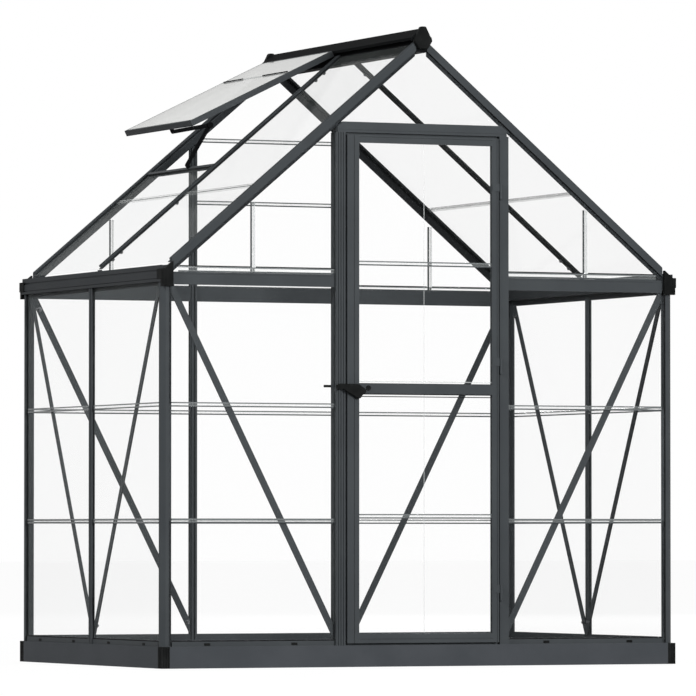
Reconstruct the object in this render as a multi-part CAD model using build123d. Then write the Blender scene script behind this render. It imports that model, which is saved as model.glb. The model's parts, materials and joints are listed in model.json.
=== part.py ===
# Small gable greenhouse: aluminium frame, clear panes, hinged door, open roof vent
# Millimetres, +X right seen from the front, +Y to the back, +Z up, origin under the middle of the base
import os
from math import cos, radians, sin, tan

from build123d import *

# Overall size
width = 1850.0
depth = 1260.0
base_height = 70.0
wall_height = 1245.0
pitch_deg = 40.0
roof_line_lift = 43.3

# Where the frame stands on the base
side_inset = 4.0
end_inset = 12.0

# Small gaps
seat_gap = 0.3
overrun = 10.0

# Steel base
steel = 2.5
base_top_flange = 34.0
base_foot_flange = 24.0
base_corner_leg = 28.0
base_corner_wall = 7.0
base_rib_count = 3
base_rib_width = 4.0
base_rib_pitch = 8.0
base_rib_depth = 2.0

# Panes and the clear strips that join them
pane_depth = 6.0
pane_thickness = 3.0
strip_width = 15.0
strip_wall = 1.5
strip_web = 2.0
wall_joint_low_share = 0.3474
wall_joint_high_share = 0.6687
gable_joint_share = 0.6486
back_joint_low_share = 0.578
back_joint_lift = 10.6
roof_joint_share = 0.638

# Edge bar: corner posts and gable rafters
edge_leg = 25.0
edge_nose = 4.5
edge_slot = 19.0
edge_reach = 37.0
flange_wall = 2.0
post_chamfer = 14.0
rafter_chamfer = 3.0

# Glazing bars: slim ones for side posts and middle rafters, deeper ones with a bolt slot for back posts
cap_half = 14.0
cap_groove_half = 4.0
cap_groove_depth = 1.5
neck_half = 5.0
flange_half = 14.0
bolt_half = 9.0
bolt_depth = 8.0
bolt_slot_half = 3.5
bolt_room_half = 6.5
bolt_lip = 2.0

# Eave, sill and header rails
sill_height = 16.0
sill_upstand = 20.0
sill_floor = 2.0
sill_face = 3.0
sill_lip = 1.8
notch_width = 22.0
notch_height = 9.0
notch_near_share = 0.25
notch_far_share = 0.785
notch_middle_share = 0.543
eave_drop = 9.0
eave_height = 41.0
back_eave_extra = 4.5
rail_face = 3.0
rail_front_wall = 2.4
rail_web_half = 6.0
rail_groove = 1.5
rail_groove_width = 5.0
header_drop = 13.6
header_height = 34.8
header_slot = 7.0
header_back = 30.0

# Gutters
gutter_out = 1.0
gutter_height = 53.0
gutter_floor_rise = 12.0
gutter_wall = 5.0
gutter_width = 41.0
gutter_groove_low = 8.0
gutter_groove_low_width = 3.0
gutter_groove_high = 32.0
gutter_groove_high_width = 6.0
gutter_groove_depth = 2.5
gutter_set_back = 3.0
gutter_pane_wall = 2.0
gutter_leg_drop = 13.0
gutter_back_gap = 10.0
cap_thickness = 14.0
cap_width = 40.0
cap_drop = 15.5
cap_below_roof = 7.0
cap_shoulder = 12.0
cap_step_rise = 8.0
cap_out = 3.0
cap_skirt = 26.0
cap_round = 1.2
cap_edge_round = 1.0
cap_rib_inset = 5.0
cap_rib_width = 9.0
cap_rib_proud = 3.0
cap_rib_round = 1.5

# Ridge
ridge_half = 20.0
ridge_rise = 26.5
ridge_sink = 52.5
ridge_wing_half = 37.0
ridge_wing_drop = 9.0
ridge_wing_wall = 4.0
ridge_cap_thickness = 16.0
ridge_cap_half = 33.0
ridge_cap_waist_drop = 42.0
ridge_cap_lift = 5.0
ridge_cap_drop = 69.0
ridge_cap_flat = 9.0
ridge_cap_base_half = 16.0
ridge_cap_round = 7.0
ridge_cap_edge_round = 3.0

# Door jambs and door leaf
jamb_inner = 278.0
jamb_width = 33.0
jamb_front = 9.5
jamb_depth = 43.5
jamb_slot = 6.0
jamb_groove_count = 3
jamb_groove_start = 6.0
jamb_groove_pitch = 9.0
jamb_groove_width = 4.0
jamb_groove_depth = 3.0
stop_clear = 5.5
stop_lap = 16.0
stop_thickness = 4.0
leaf_side_gap = 5.0
leaf_head_gap = 7.6
leaf_foot_gap = 7.0
leaf_front = 14.0
leaf_depth = 14.0
latch_stile = 42.0
hinge_stile = 25.0
leaf_slot = 6.0
leaf_groove = 2.0
leaf_groove_width = 4.0
leaf_groove_inset = 20.0
leaf_bottom_rail = 30.5
leaf_mid_bottom = 890.0
leaf_mid_rail = 32.5
leaf_top_rail = 25.0
leaf_joint_low_share = 0.489
leaf_joint_high_share = 0.5

# Door hinges
hinge_side = 2.0
hinge_forward = 4.0
knuckle_radius = 5.0
pin_radius = 2.5
knuckle_height = 26.0
hinge_plate = 2.0
hinge_plate_width = 24.0
hinge_low_rise = 163.0
hinge_mid_rise = 95.0
hinge_high_drop = 174.0

# Lever handle and keeper
lever_pivot_inset = 51.0
lever_pivot_rise = 8.0
lever_knob_reach = 8.0
lever_knob_drop = 10.0
lever_knob_radius = 8.0
lever_rise = 31.0
lever_neck_run = 3.0
lever_neck_drop = 12.0
lever_waist_inset = 41.0
lever_waist_drop = 9.0
lever_lobe_drop = 13.0
lever_lobe_radius = 9.0
lever_heel = 8.0
lever_thickness = 9.0
lever_edge_round = 2.0
lever_gap = 2.0
rose_radius = 11.0
rose_thickness = 6.0
spindle_radius = 4.0
lock_inset = 74.0
lock_rise = 18.0
lock_radius = 8.5
lock_bore_radius = 5.0
lock_thickness = 3.0
lock_plug_depth = 2.0
keeper_reach = 24.0
keeper_height = 8.0
keeper_depth = 10.0
keeper_rise = 20.0
keeper_hook = 8.0
keeper_wall = 4.0

# Flat braces
brace_width = 22.0
brace_thickness = 4.4
brace_head_gap = 1.0
brace_foot_rise = 20.0
end_brace_inset = 35.0
end_brace_lap = 12.0
side_brace_inset = 49.0
side_brace_lap = 2.0

# Roof vent, open
vent_angle_deg = 25.8
vent_head_rise = 10.5
vent_overlap = 8.5
vent_start = 12.0
vent_end_gap = 22.0
vent_rail = 22.0
vent_rail_depth = 20.0
vent_rebate = 9.0
vent_sill_share = 0.5135
vent_sill_half = 12.0
stay_y_share = 0.357
stay_width = 14.0
stay_thickness = 3.0
stay_knee_run = 134.8
stay_knee_rise = 25.6
stay_lug = 12.0
knob_radius = 10.0
knob_height = 8.0

# Derived positions
half_width = width / 2
half_depth = depth / 2
side_face = half_width - side_inset
end_face = half_depth - end_inset
pane_inner = pane_depth + pane_thickness
flange_inner = pane_inner + flange_wall
slope = tan(radians(pitch_deg))
rise = cos(radians(pitch_deg))
lean = sin(radians(pitch_deg))
far = width + depth + wall_height
roof_line_height = wall_height + roof_line_lift + slope * half_width
ridge_height = roof_line_height + ridge_rise
ridge_bottom = roof_line_height - ridge_sink
gutter_face = half_width + gutter_out
gutter_bottom = wall_height
gutter_top = gutter_bottom + gutter_height
gutter_back = gutter_face - gutter_width
eave_cut = gutter_back - seat_gap
eave_bottom = wall_height - eave_drop
eave_top = eave_bottom + eave_height
back_eave_bottom = eave_bottom - back_eave_extra
back_eave_top = eave_top + back_eave_extra
wall_joint_low = base_height + wall_joint_low_share * (eave_bottom - base_height)
wall_joint_high = base_height + wall_joint_high_share * (eave_bottom - base_height)
gable_joint_offset = gable_joint_share * half_width
roof_joint_offset = roof_joint_share * half_width
vent_sill_offset = vent_sill_share * half_width
jamb_outer = jamb_inner + jamb_width
post_x = jamb_outer - cap_half
leaf_half = jamb_inner - leaf_side_gap
leaf_bottom = base_height + leaf_foot_gap
bay_outer = side_face - edge_reach
side_bay_outer = end_face - edge_reach
back_bay_inner = post_x + flange_half
middle_half = post_x - flange_half


def outline(points):
    """Flat face from a closed run of points."""
    return make_face(Polyline(*points, close=True))


def run(points, origin, across, along, length):
    """Bar made by pushing an outline along a direction."""
    plane = Plane(origin=origin, x_dir=across, z_dir=along)
    return extrude(plane * outline(points), amount=length)


def block(x0, x1, y0, y1, z0, z1):
    """Plain box between two corners."""
    size = Box(x1 - x0, y1 - y0, z1 - z0, align=(Align.MIN, Align.MIN, Align.MIN))
    return Pos(x0, y0, z0) * size


def sheet(points, y0, y1):
    """Outline in the XZ plane given thickness along Y."""
    return run([(z, x) for x, z in points], (0, y0, 0), (0, 0, 1), (0, 1, 0), y1 - y0)


def flip_x(shape):
    """Mirror image across the middle from left to right."""
    return mirror(shape, about=Plane.YZ)


def flip_y(shape):
    """Mirror image across the middle from front to back."""
    return mirror(shape, about=Plane.XZ)


def group(shapes):
    """Several separate solids kept together in one node."""
    solids = []
    for shape in shapes:
        solids.extend(shape.solids())
    return Compound(children=solids)


def roof_z(x, below):
    """Height of the roof line at x, a given depth below the outer roof plane."""
    return roof_line_height - slope * abs(x) - below / rise


def roof_x(z, below):
    """Distance from the middle where the roof line meets a height."""
    return (roof_line_height - below / rise - z) / slope


header_bottom = roof_z(jamb_outer, edge_reach) - header_drop
header_top = header_bottom + header_height
leaf_top = header_bottom - leaf_head_gap
back_joint_high = header_top + back_joint_lift
back_joint_low = eave_top + back_joint_low_share * (back_joint_high - eave_top)


def edge_section(chamfer):
    """Corner bar: a nose over the pane edges and two flanges behind them."""
    return [
        (0, chamfer),
        (chamfer, 0),
        (edge_leg, 0),
        (edge_leg, edge_nose),
        (edge_slot, edge_nose),
        (edge_slot, pane_inner),
        (edge_reach, pane_inner),
        (edge_reach, flange_inner),
        (flange_inner, flange_inner),
        (flange_inner, edge_reach),
        (pane_inner, edge_reach),
        (pane_inner, edge_slot),
        (edge_nose, edge_slot),
        (edge_nose, edge_leg),
        (0, edge_leg),
    ]


def bar_section():
    """Back post: grooved cap outside, flange behind the panes, bolt slot inside."""
    back = flange_inner + bolt_depth
    half = [
        (0, cap_groove_depth),
        (cap_groove_half, cap_groove_depth),
        (cap_groove_half, 0),
        (cap_half, 0),
        (cap_half, edge_nose),
        (neck_half, edge_nose),
        (neck_half, pane_inner),
        (flange_half, pane_inner),
        (flange_half, flange_inner),
        (bolt_half, flange_inner),
        (bolt_half, back),
        (bolt_slot_half, back),
        (bolt_slot_half, back - bolt_lip),
        (bolt_room_half, back - bolt_lip),
        (bolt_room_half, flange_inner + bolt_lip),
        (0, flange_inner + bolt_lip),
    ]
    other = [(-s, n) for s, n in half[-2:0:-1]]
    return half + other


def slim_section():
    """Slim glazing bar: grooved cap outside and an equal flange behind the panes."""
    half = [
        (0, cap_groove_depth),
        (cap_groove_half, cap_groove_depth),
        (cap_groove_half, 0),
        (cap_half, 0),
        (cap_half, edge_nose),
        (neck_half, edge_nose),
        (neck_half, pane_inner),
        (cap_half, pane_inner),
        (cap_half, flange_inner),
        (0, flange_inner),
    ]
    other = [(-s, n) for s, n in half[-2:0:-1]]
    return half + other


def rail_section(bottom, top):
    """Eave rail: front plate and back flange joined by a web between two pane slots."""
    middle = (bottom + top) / 2
    web_low = middle - rail_web_half
    web_high = middle + rail_web_half
    front = rail_face + rail_front_wall
    return [
        (rail_face, bottom),
        (front, bottom),
        (front, web_low),
        (pane_inner, web_low),
        (pane_inner, bottom),
        (flange_inner, bottom),
        (flange_inner, top),
        (pane_inner, top),
        (pane_inner, web_high),
        (front, web_high),
        (front, top),
        (rail_face, top),
        (rail_face, top - rail_groove_width),
        (rail_face + rail_groove, top - rail_groove_width),
        (rail_face + rail_groove, top - 2 * rail_groove_width),
        (rail_face, top - 2 * rail_groove_width),
    ]


def sill_section():
    """Sill: low lip outside the panes and a taller upstand behind them."""
    low = base_height
    return [
        (sill_face, low),
        (flange_inner, low),
        (flange_inner, low + sill_upstand),
        (pane_inner, low + sill_upstand),
        (pane_inner, low + sill_floor),
        (sill_face + sill_lip, low + sill_floor),
        (sill_face + sill_lip, low + sill_height),
        (sill_face, low + sill_height),
    ]


def strip_section():
    """Clear joining strip: two thin walls and a web that parts the pane edges."""
    half = strip_width / 2
    inner = pane_thickness / 2 + seat_gap
    outer = inner + strip_wall
    web = strip_web / 2
    return [
        (-half, -outer),
        (half, -outer),
        (half, -inner),
        (web, -inner),
        (web, inner),
        (half, inner),
        (half, outer),
        (-half, outer),
        (-half, inner),
        (-web, inner),
        (-web, -inner),
        (-half, -inner),
    ]


pane_edge = strip_web / 2 + seat_gap
pane_middle = pane_depth + pane_thickness / 2
roof_above = run(
    [
        (roof_z(far, edge_reach), -far),
        (roof_z(0, edge_reach), 0),
        (roof_z(far, edge_reach), far),
        (roof_z(0, edge_reach) + far, far),
        (roof_z(0, edge_reach) + far, -far),
    ],
    (0, -far, 0),
    (0, 0, 1),
    (0, 1, 0),
    2 * far,
)


# Steel base plates with a top flange and a foot flange
base_section = [
    (0, 0),
    (base_foot_flange, 0),
    (base_foot_flange, steel),
    (steel, steel),
    (steel, base_height - steel),
    (base_top_flange, base_height - steel),
    (base_top_flange, base_height),
    (0, base_height),
]
end_plate_half = half_width - base_corner_leg
side_plate_half = half_depth - base_corner_leg
base_front = run(base_section, (-end_plate_half, -half_depth, 0), (0, 1, 0), (1, 0, 0), 2 * end_plate_half)
base_left_full = run(base_section, (-half_width, side_plate_half, 0), (1, 0, 0), (0, -1, 0), 2 * side_plate_half)
corner_box = base_top_flange + seat_gap
end_clear = block(-far, far, -half_depth - overrun, -half_depth + corner_box, -overrun, base_height + overrun)
base_left = base_left_full - end_clear - flip_y(end_clear)

# Ribbed plastic corners of the base
corner_block = block(0, base_corner_leg, 0, base_corner_leg, 0, base_height)
corner_room = block(
    base_corner_wall, base_corner_leg + overrun, base_corner_wall, base_corner_leg + overrun, -overrun, far
)
base_corner = corner_block - corner_room
for step in range(base_rib_count):
    groove_at = base_rib_width + step * base_rib_pitch
    groove_end = groove_at + base_rib_width
    base_corner -= block(groove_at, groove_end, -overrun, base_rib_depth, -overrun, base_height + overrun)
    base_corner -= block(-overrun, base_rib_depth, groove_at, groove_end, -overrun, base_height + overrun)
corner_front_left = Pos(-half_width, -half_depth, 0) * base_corner
corner_front_right = flip_x(corner_front_left)
base_corners = [corner_front_left, corner_front_right, flip_y(corner_front_left), flip_y(corner_front_right)]

# Corner posts
post_length = gutter_bottom - base_height
post_front_left = run(
    edge_section(post_chamfer), (-side_face, -end_face, base_height), (1, 0, 0), (0, 0, 1), post_length
)
post_front_right = flip_x(post_front_left)
post_back_left = flip_y(post_front_left)
post_back_right = flip_y(post_front_right)

# Posts in the middle of the side walls
side_post_left = run(slim_section(), (-side_face, 0, base_height), (0, -1, 0), (0, 0, 1), post_length)
side_posts = [side_post_left, flip_x(side_post_left)]

# Back posts, cut to the slope under the rafters
back_post_long = run(bar_section(), (post_x, end_face, base_height), (-1, 0, 0), (0, 0, 1), ridge_height)
back_post_right = back_post_long - roof_above
back_posts = [flip_x(back_post_right), back_post_right]

# Door jambs, grooved on the latch side and plain on the hinge side
jamb_pane_front = jamb_front + edge_nose
jamb_pane_back = jamb_front + pane_inner
stop_front = jamb_front - leaf_front + leaf_depth + stop_clear
stop_back = stop_front + stop_thickness
jamb_grooves = []
for step in range(jamb_groove_count):
    groove_at = jamb_groove_start + step * jamb_groove_pitch
    groove_end = groove_at + jamb_groove_width
    jamb_grooves.append((groove_at, 0))
    jamb_grooves.append((groove_at, jamb_groove_depth))
    jamb_grooves.append((groove_end, jamb_groove_depth))
    jamb_grooves.append((groove_end, 0))
jamb_sides = [
    (jamb_width, 0),
    (jamb_width, jamb_pane_front),
    (jamb_width - jamb_slot, jamb_pane_front),
    (jamb_width - jamb_slot, jamb_pane_back),
    (jamb_width, jamb_pane_back),
    (jamb_width, jamb_depth),
    (0, jamb_depth),
    (0, stop_back),
    (-stop_lap, stop_back),
    (-stop_lap, stop_front),
    (0, stop_front),
]
jamb_face = -end_face - jamb_front
jamb_start = (jamb_inner, jamb_face, base_height)
jamb_length = header_bottom - base_height
jamb_right = run([(0, 0)] + jamb_sides, jamb_start, (1, 0, 0), (0, 0, 1), jamb_length)
jamb_left = flip_x(run([(0, 0)] + jamb_grooves + jamb_sides, jamb_start, (1, 0, 0), (0, 0, 1), jamb_length))

# Header over the doorway, ends cut to the rafters, with a stop behind the leaf
header_half = jamb_inner + jamb_width - jamb_slot
header_section = [
    (-jamb_front, header_bottom),
    (header_back, header_bottom),
    (header_back, header_top - header_slot),
    (flange_inner, header_top - header_slot),
    (flange_inner, header_top),
    (pane_inner, header_top),
    (pane_inner, header_top - header_slot),
    (edge_nose, header_top - header_slot),
    (edge_nose, header_top),
    (-jamb_front, header_top),
    (-jamb_front, header_bottom + 2 * rail_groove_width),
    (-jamb_front + rail_groove, header_bottom + 2 * rail_groove_width),
    (-jamb_front + rail_groove, header_bottom + rail_groove_width),
    (-jamb_front, header_bottom + rail_groove_width),
]
header_long = run(header_section, (-header_half, -end_face, 0), (0, 1, 0), (1, 0, 0), 2 * header_half)
stop_half = jamb_inner - stop_lap - seat_gap
stop_y0 = jamb_face + stop_front
stop_y1 = jamb_face + stop_back
header_middle = (header_bottom + header_top) / 2
header_stop = block(-stop_half, stop_half, stop_y0, stop_y1, leaf_top - stop_lap, header_middle)
door_header = header_long + header_stop - roof_above

# Sills between the posts, with drain notches in the lip
notch_low = base_height + sill_floor


def notch(x):
    """Cutter for one drain notch in the front sill lip."""
    half = notch_width / 2
    y0 = -end_face + sill_face - overrun
    y1 = -end_face + sill_face + sill_lip + sill_floor
    return block(x - half, x + half, y0, y1, notch_low, notch_low + notch_height)


def bay_notches(low, high):
    """Places of the two notches of a bay."""
    return [low + notch_near_share * (high - low), low + notch_far_share * (high - low)]


def end_sill(x0, x1, notches):
    """Front sill from x0 to x1 with its notches."""
    sill = run(sill_section(), (x0, -end_face, 0), (0, 1, 0), (1, 0, 0), x1 - x0)
    for x in notches:
        sill -= notch(x)
    return sill


sill_front_right = end_sill(jamb_outer, bay_outer, bay_notches(jamb_outer, bay_outer))
threshold = block(-stop_half, stop_half, stop_y0, stop_y1, base_height, leaf_bottom + sill_height)
sill_front = [flip_x(sill_front_right), threshold, sill_front_right]
sill_back_right = flip_y(end_sill(back_bay_inner, bay_outer, bay_notches(back_bay_inner, bay_outer)))
middle_notch = notch_middle_share * middle_half
sill_back_middle = flip_y(end_sill(-middle_half, middle_half, [-middle_notch, middle_notch]))
sill_back = [flip_x(sill_back_right), sill_back_middle, sill_back_right]


def side_sill(y0, y1, notches):
    """Left sill from y0 to y1 with its notches."""
    sill = run(sill_section(), (-side_face, y1, 0), (1, 0, 0), (0, -1, 0), y1 - y0)
    half = notch_width / 2
    x0 = -side_face + sill_face - overrun
    x1 = -side_face + sill_face + sill_lip + sill_floor
    for y in notches:
        sill -= block(x0, x1, y - half, y + half, notch_low, notch_low + notch_height)
    return sill


sill_left_back = side_sill(cap_half, side_bay_outer, bay_notches(cap_half, side_bay_outer))
sill_left = [flip_y(sill_left_back), sill_left_back]

# Eave rails on the front and back
eave_front_right = run(
    rail_section(eave_bottom, eave_top), (jamb_outer, -end_face, 0), (0, 1, 0), (1, 0, 0), bay_outer - jamb_outer
)
eave_front_right -= roof_above
eave_front = [flip_x(eave_front_right), eave_front_right]
eave_back_right = run(
    rail_section(back_eave_bottom, back_eave_top),
    (back_bay_inner, -end_face, 0),
    (0, 1, 0),
    (1, 0, 0),
    bay_outer - back_bay_inner,
)
eave_back_right = flip_y(eave_back_right - roof_above)
back_rail = rail_section(back_eave_bottom, back_eave_top)
eave_back_middle = flip_y(
    run(back_rail, (-middle_half, -end_face, 0), (0, 1, 0), (1, 0, 0), 2 * middle_half)
)
eave_back = [flip_x(eave_back_right), eave_back_middle, eave_back_right]

# Grooved gutters along the eaves, with a leg inside the panes and a foot for the middle rafter
gutter_floor = gutter_bottom + gutter_floor_rise
pane_from_gutter = gutter_face - side_face + pane_depth
gutter_back_top = roof_z(gutter_back, pane_inner) - gutter_back_gap
low_groove = gutter_bottom + gutter_groove_low
low_groove_top = low_groove + gutter_groove_low_width
high_groove = gutter_bottom + gutter_groove_high
high_groove_top = high_groove + gutter_groove_high_width
gutter_section = [
    (0, gutter_bottom),
    (gutter_wall, gutter_bottom),
    (gutter_wall, gutter_floor - gutter_wall),
    (pane_from_gutter - gutter_pane_wall - seat_gap, gutter_floor - gutter_wall),
    (pane_from_gutter - gutter_pane_wall - seat_gap, gutter_bottom),
    (pane_from_gutter - seat_gap, gutter_bottom),
    (pane_from_gutter - seat_gap, gutter_floor - gutter_wall),
    (pane_from_gutter + pane_thickness, gutter_floor - gutter_wall),
    (pane_from_gutter + pane_thickness, gutter_bottom),
    (pane_from_gutter + pane_thickness + gutter_pane_wall, gutter_bottom),
    (pane_from_gutter + pane_thickness + gutter_pane_wall, gutter_floor - gutter_wall),
    (gutter_width, gutter_floor - gutter_wall),
    (gutter_width, gutter_back_top),
    (gutter_width - gutter_wall, gutter_back_top),
    (gutter_width - gutter_wall, gutter_floor),
    (gutter_wall + gutter_set_back, gutter_floor),
    (gutter_wall + gutter_set_back, gutter_top),
    (gutter_set_back, gutter_top),
    (gutter_set_back, high_groove_top),
    (gutter_set_back + gutter_groove_depth, high_groove_top),
    (gutter_set_back + gutter_groove_depth, high_groove),
    (0, high_groove),
    (0, low_groove_top),
    (gutter_groove_depth, low_groove_top),
    (gutter_groove_depth, low_groove),
    (0, low_groove),
]
gutter_left = run(gutter_section, (-gutter_face, end_face, 0), (1, 0, 0), (0, -1, 0), 2 * end_face)
gutter_leg = block(
    -side_face + pane_inner,
    -side_face + flange_inner,
    cap_half + seat_gap,
    side_bay_outer - seat_gap,
    gutter_bottom - gutter_leg_drop,
    gutter_floor - gutter_wall,
)
rafter_foot_top = roof_z(gutter_back + gutter_wall, pane_inner) - seat_gap
rafter_foot = block(-gutter_back - gutter_wall, -gutter_back, -cap_half, cap_half, gutter_floor, rafter_foot_top)
gutter_left += gutter_leg
gutter_left += flip_y(gutter_leg)
gutter_left += rafter_foot
gutter_right = flip_x(gutter_left)

# Plastic gutter end caps: top cut to the roof slope, a side skirt and an upright rib
cap_bottom = gutter_bottom - cap_drop
cap_step = gutter_bottom + cap_step_rise
cap_inner = gutter_face - cap_width
cap_outer = gutter_face + cap_out
cap_bend = cap_outer - cap_shoulder
cap_high = roof_z(cap_bend, cap_below_roof)
cap_front = -end_face - cap_thickness
cap_back = -end_face - seat_gap
cap_points = [
    (-cap_inner, cap_bottom),
    (-cap_inner, roof_z(cap_inner, cap_below_roof)),
    (-cap_bend, cap_high),
    (-cap_outer, cap_high),
    (-cap_outer, cap_step),
    (-gutter_face, cap_step),
    (-gutter_face, cap_bottom),
]
cap_blank = sheet(cap_points, cap_front, cap_back)
cap_plate = fillet(cap_blank.edges().filter_by(Axis.Y), radius=cap_round)
cap_plate = fillet(cap_plate.faces().sort_by(Axis.Y)[0].edges(), radius=cap_edge_round)
skirt = block(
    -cap_outer, -gutter_face - seat_gap, -end_face - cap_thickness / 2, -end_face + cap_skirt, cap_step, cap_high
)
skirt = fillet(skirt.faces().sort_by(Axis.X)[0].edges(), radius=cap_round)
rib_outer = cap_outer - cap_rib_inset
rib = block(
    -rib_outer, -rib_outer + cap_rib_width, cap_front - cap_rib_proud, cap_back, cap_bottom, cap_high
)
rib = fillet(rib.faces().sort_by(Axis.Y)[0].edges(), radius=cap_rib_round)
cap_front_left = cap_plate + skirt + rib
cap_front_right = flip_x(cap_front_left)
gutter_caps = [cap_front_left, cap_front_right, flip_y(cap_front_left), flip_y(cap_front_right)]

# Rafters, cut upright at the ridge and behind the gutter
down_left = (-cos(radians(pitch_deg)), 0, -sin(radians(pitch_deg)))
rafter_length = width
roof_start = (0, -end_face, roof_line_height)
left_zone = block(-eave_cut, -ridge_half - seat_gap, -far, far, 0, far + ridge_height)
rafter_front_left = run(edge_section(rafter_chamfer), roof_start, (0, 1, 0), down_left, rafter_length) & left_zone
rafters_front = [rafter_front_left, flip_x(rafter_front_left)]
rafters_back = [flip_y(rafter_front_left), flip_y(flip_x(rafter_front_left))]
rafter_middle_left = run(slim_section(), (0, 0, roof_line_height), (0, 1, 0), down_left, rafter_length) & left_zone
rafters_middle = [rafter_middle_left, flip_x(rafter_middle_left)]

# Ridge beam with two overhanging wings
wing_edge = ridge_height - slope * ridge_wing_half
wing_root = wing_edge - ridge_wing_drop + slope * (ridge_wing_half - ridge_half)
ridge_points = [
    (0, ridge_height),
    (ridge_wing_half, wing_edge),
    (ridge_wing_half, wing_edge - ridge_wing_drop),
    (ridge_wing_half - ridge_wing_wall, wing_edge - ridge_wing_drop),
    (ridge_half, wing_root - ridge_wing_wall),
    (ridge_half, ridge_bottom),
    (-ridge_half, ridge_bottom),
    (-ridge_half, wing_root - ridge_wing_wall),
    (-ridge_wing_half + ridge_wing_wall, wing_edge - ridge_wing_drop),
    (-ridge_wing_half, wing_edge - ridge_wing_drop),
    (-ridge_wing_half, wing_edge),
]
ridge_beam = sheet(ridge_points, -end_face, end_face)
ridge_cap_top = ridge_height + ridge_cap_lift
ridge_cap_waist = ridge_height - ridge_cap_waist_drop
ridge_cap_bottom = ridge_height - ridge_cap_drop
ridge_cap_points = [
    (-ridge_cap_flat, ridge_cap_top),
    (ridge_cap_flat, ridge_cap_top),
    (ridge_cap_half, ridge_cap_waist),
    (ridge_cap_base_half, ridge_cap_bottom),
    (-ridge_cap_base_half, ridge_cap_bottom),
    (-ridge_cap_half, ridge_cap_waist),
]
ridge_cap_blank = sheet(ridge_cap_points, -end_face - ridge_cap_thickness, -end_face - seat_gap)
ridge_cap_front = fillet(ridge_cap_blank.edges().filter_by(Axis.Y), radius=ridge_cap_round)
ridge_cap_front = fillet(ridge_cap_front.faces().sort_by(Axis.Y)[0].edges(), radius=ridge_cap_edge_round)
ridge_caps = [ridge_cap_front, flip_y(ridge_cap_front)]


# Panes of the upright walls
def wall_levels(top):
    """Low and high edge of each of the three panes one above another."""
    low = base_height + sill_floor + seat_gap
    return [
        (low, wall_joint_low - pane_edge),
        (wall_joint_low + pane_edge, wall_joint_high - pane_edge),
        (wall_joint_high + pane_edge, top),
    ]


eave_web = (eave_bottom + eave_top) / 2
wall_top = eave_web - rail_web_half - seat_gap
side_top = gutter_floor - gutter_wall - seat_gap
pane_outer = side_face - edge_slot - seat_gap
front_pane_inner = jamb_outer - jamb_slot + seat_gap
back_pane_inner = post_x + neck_half + seat_gap
back_pane_middle = post_x - neck_half - seat_gap
front_y0 = -end_face + pane_depth
front_y1 = -end_face + pane_inner
panes_front = []
panes_back = []
for low, high in wall_levels(wall_top):
    right = block(front_pane_inner, pane_outer, front_y0, front_y1, low, high)
    panes_front.extend([flip_x(right), right])
    back = flip_y(block(back_pane_inner, pane_outer, front_y0, front_y1, low, high))
    middle = flip_y(block(-back_pane_middle, back_pane_middle, front_y0, front_y1, low, high))
    panes_back.extend([flip_x(back), middle, back])
panes_left = []
side_pane_outer = end_face - edge_slot - seat_gap
side_pane_inner = neck_half + seat_gap
for low, high in wall_levels(side_top):
    pane = block(
        -side_face + pane_depth, -side_face + pane_inner, side_pane_inner, side_pane_outer, low, high
    )
    panes_left.extend([flip_y(pane), pane])

# Panes of the gables
slot_below = edge_slot + seat_gap
gable_low = eave_web + rail_web_half + seat_gap
joint_x = gable_joint_offset
tip_x = roof_x(gable_low, slot_below)
ridge_pane_top = ridge_bottom - seat_gap
ridge_pane_half = roof_x(ridge_pane_top, slot_below)


def gable_sheet(points):
    """Front gable pane with the given outline."""
    return sheet(points, front_y0, front_y1)


corner_tip = min(tip_x, eave_cut)
corner_pane = gable_sheet(
    [
        (joint_x + pane_edge, gable_low),
        (corner_tip, gable_low),
        (corner_tip, roof_z(corner_tip, slot_below)),
        (joint_x + pane_edge, roof_z(joint_x + pane_edge, slot_below)),
    ]
)


def inner_gable(inner):
    """Gable pane from the joint to the jamb or back post."""
    return gable_sheet(
        [
            (inner, gable_low),
            (joint_x - pane_edge, gable_low),
            (joint_x - pane_edge, roof_z(joint_x - pane_edge, slot_below)),
            (inner, roof_z(inner, slot_below)),
        ]
    )


header_pane_low = header_top - header_slot + seat_gap
front_top_pane = gable_sheet(
    [
        (-header_half, header_pane_low),
        (header_half, header_pane_low),
        (header_half, roof_z(header_half, slot_below)),
        (ridge_pane_half, ridge_pane_top),
        (-ridge_pane_half, ridge_pane_top),
        (-header_half, roof_z(header_half, slot_below)),
    ]
)
front_inner = inner_gable(front_pane_inner)
panes_front_gable = [flip_x(corner_pane), flip_x(front_inner), front_top_pane, front_inner, corner_pane]
back_inner = inner_gable(back_pane_inner)
back_low = gable_sheet(
    [
        (-back_pane_middle, gable_low),
        (back_pane_middle, gable_low),
        (back_pane_middle, back_joint_low - pane_edge),
        (-back_pane_middle, back_joint_low - pane_edge),
    ]
)
back_mid_top = min(back_joint_high - pane_edge, roof_z(back_pane_middle, slot_below))
back_mid = gable_sheet(
    [
        (-back_pane_middle, back_joint_low + pane_edge),
        (back_pane_middle, back_joint_low + pane_edge),
        (back_pane_middle, back_mid_top),
        (-back_pane_middle, back_mid_top),
    ]
)
back_high_low = back_joint_high + pane_edge
back_high_half = roof_x(back_high_low, slot_below)
back_high = gable_sheet(
    [
        (-back_high_half, back_high_low),
        (back_high_half, back_high_low),
        (ridge_pane_half, ridge_pane_top),
        (-ridge_pane_half, ridge_pane_top),
    ]
)
panes_back_gable = []
for pane in [flip_x(corner_pane), flip_x(back_inner), back_low, back_mid, back_high, back_inner, corner_pane]:
    panes_back_gable.append(flip_y(pane))


# Panes of the roof
def roof_point(x, below):
    """Point on the left slope, a given depth straight below the outer roof plane."""
    return (-x + below * lean, roof_line_height - slope * x - below * rise)


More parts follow.
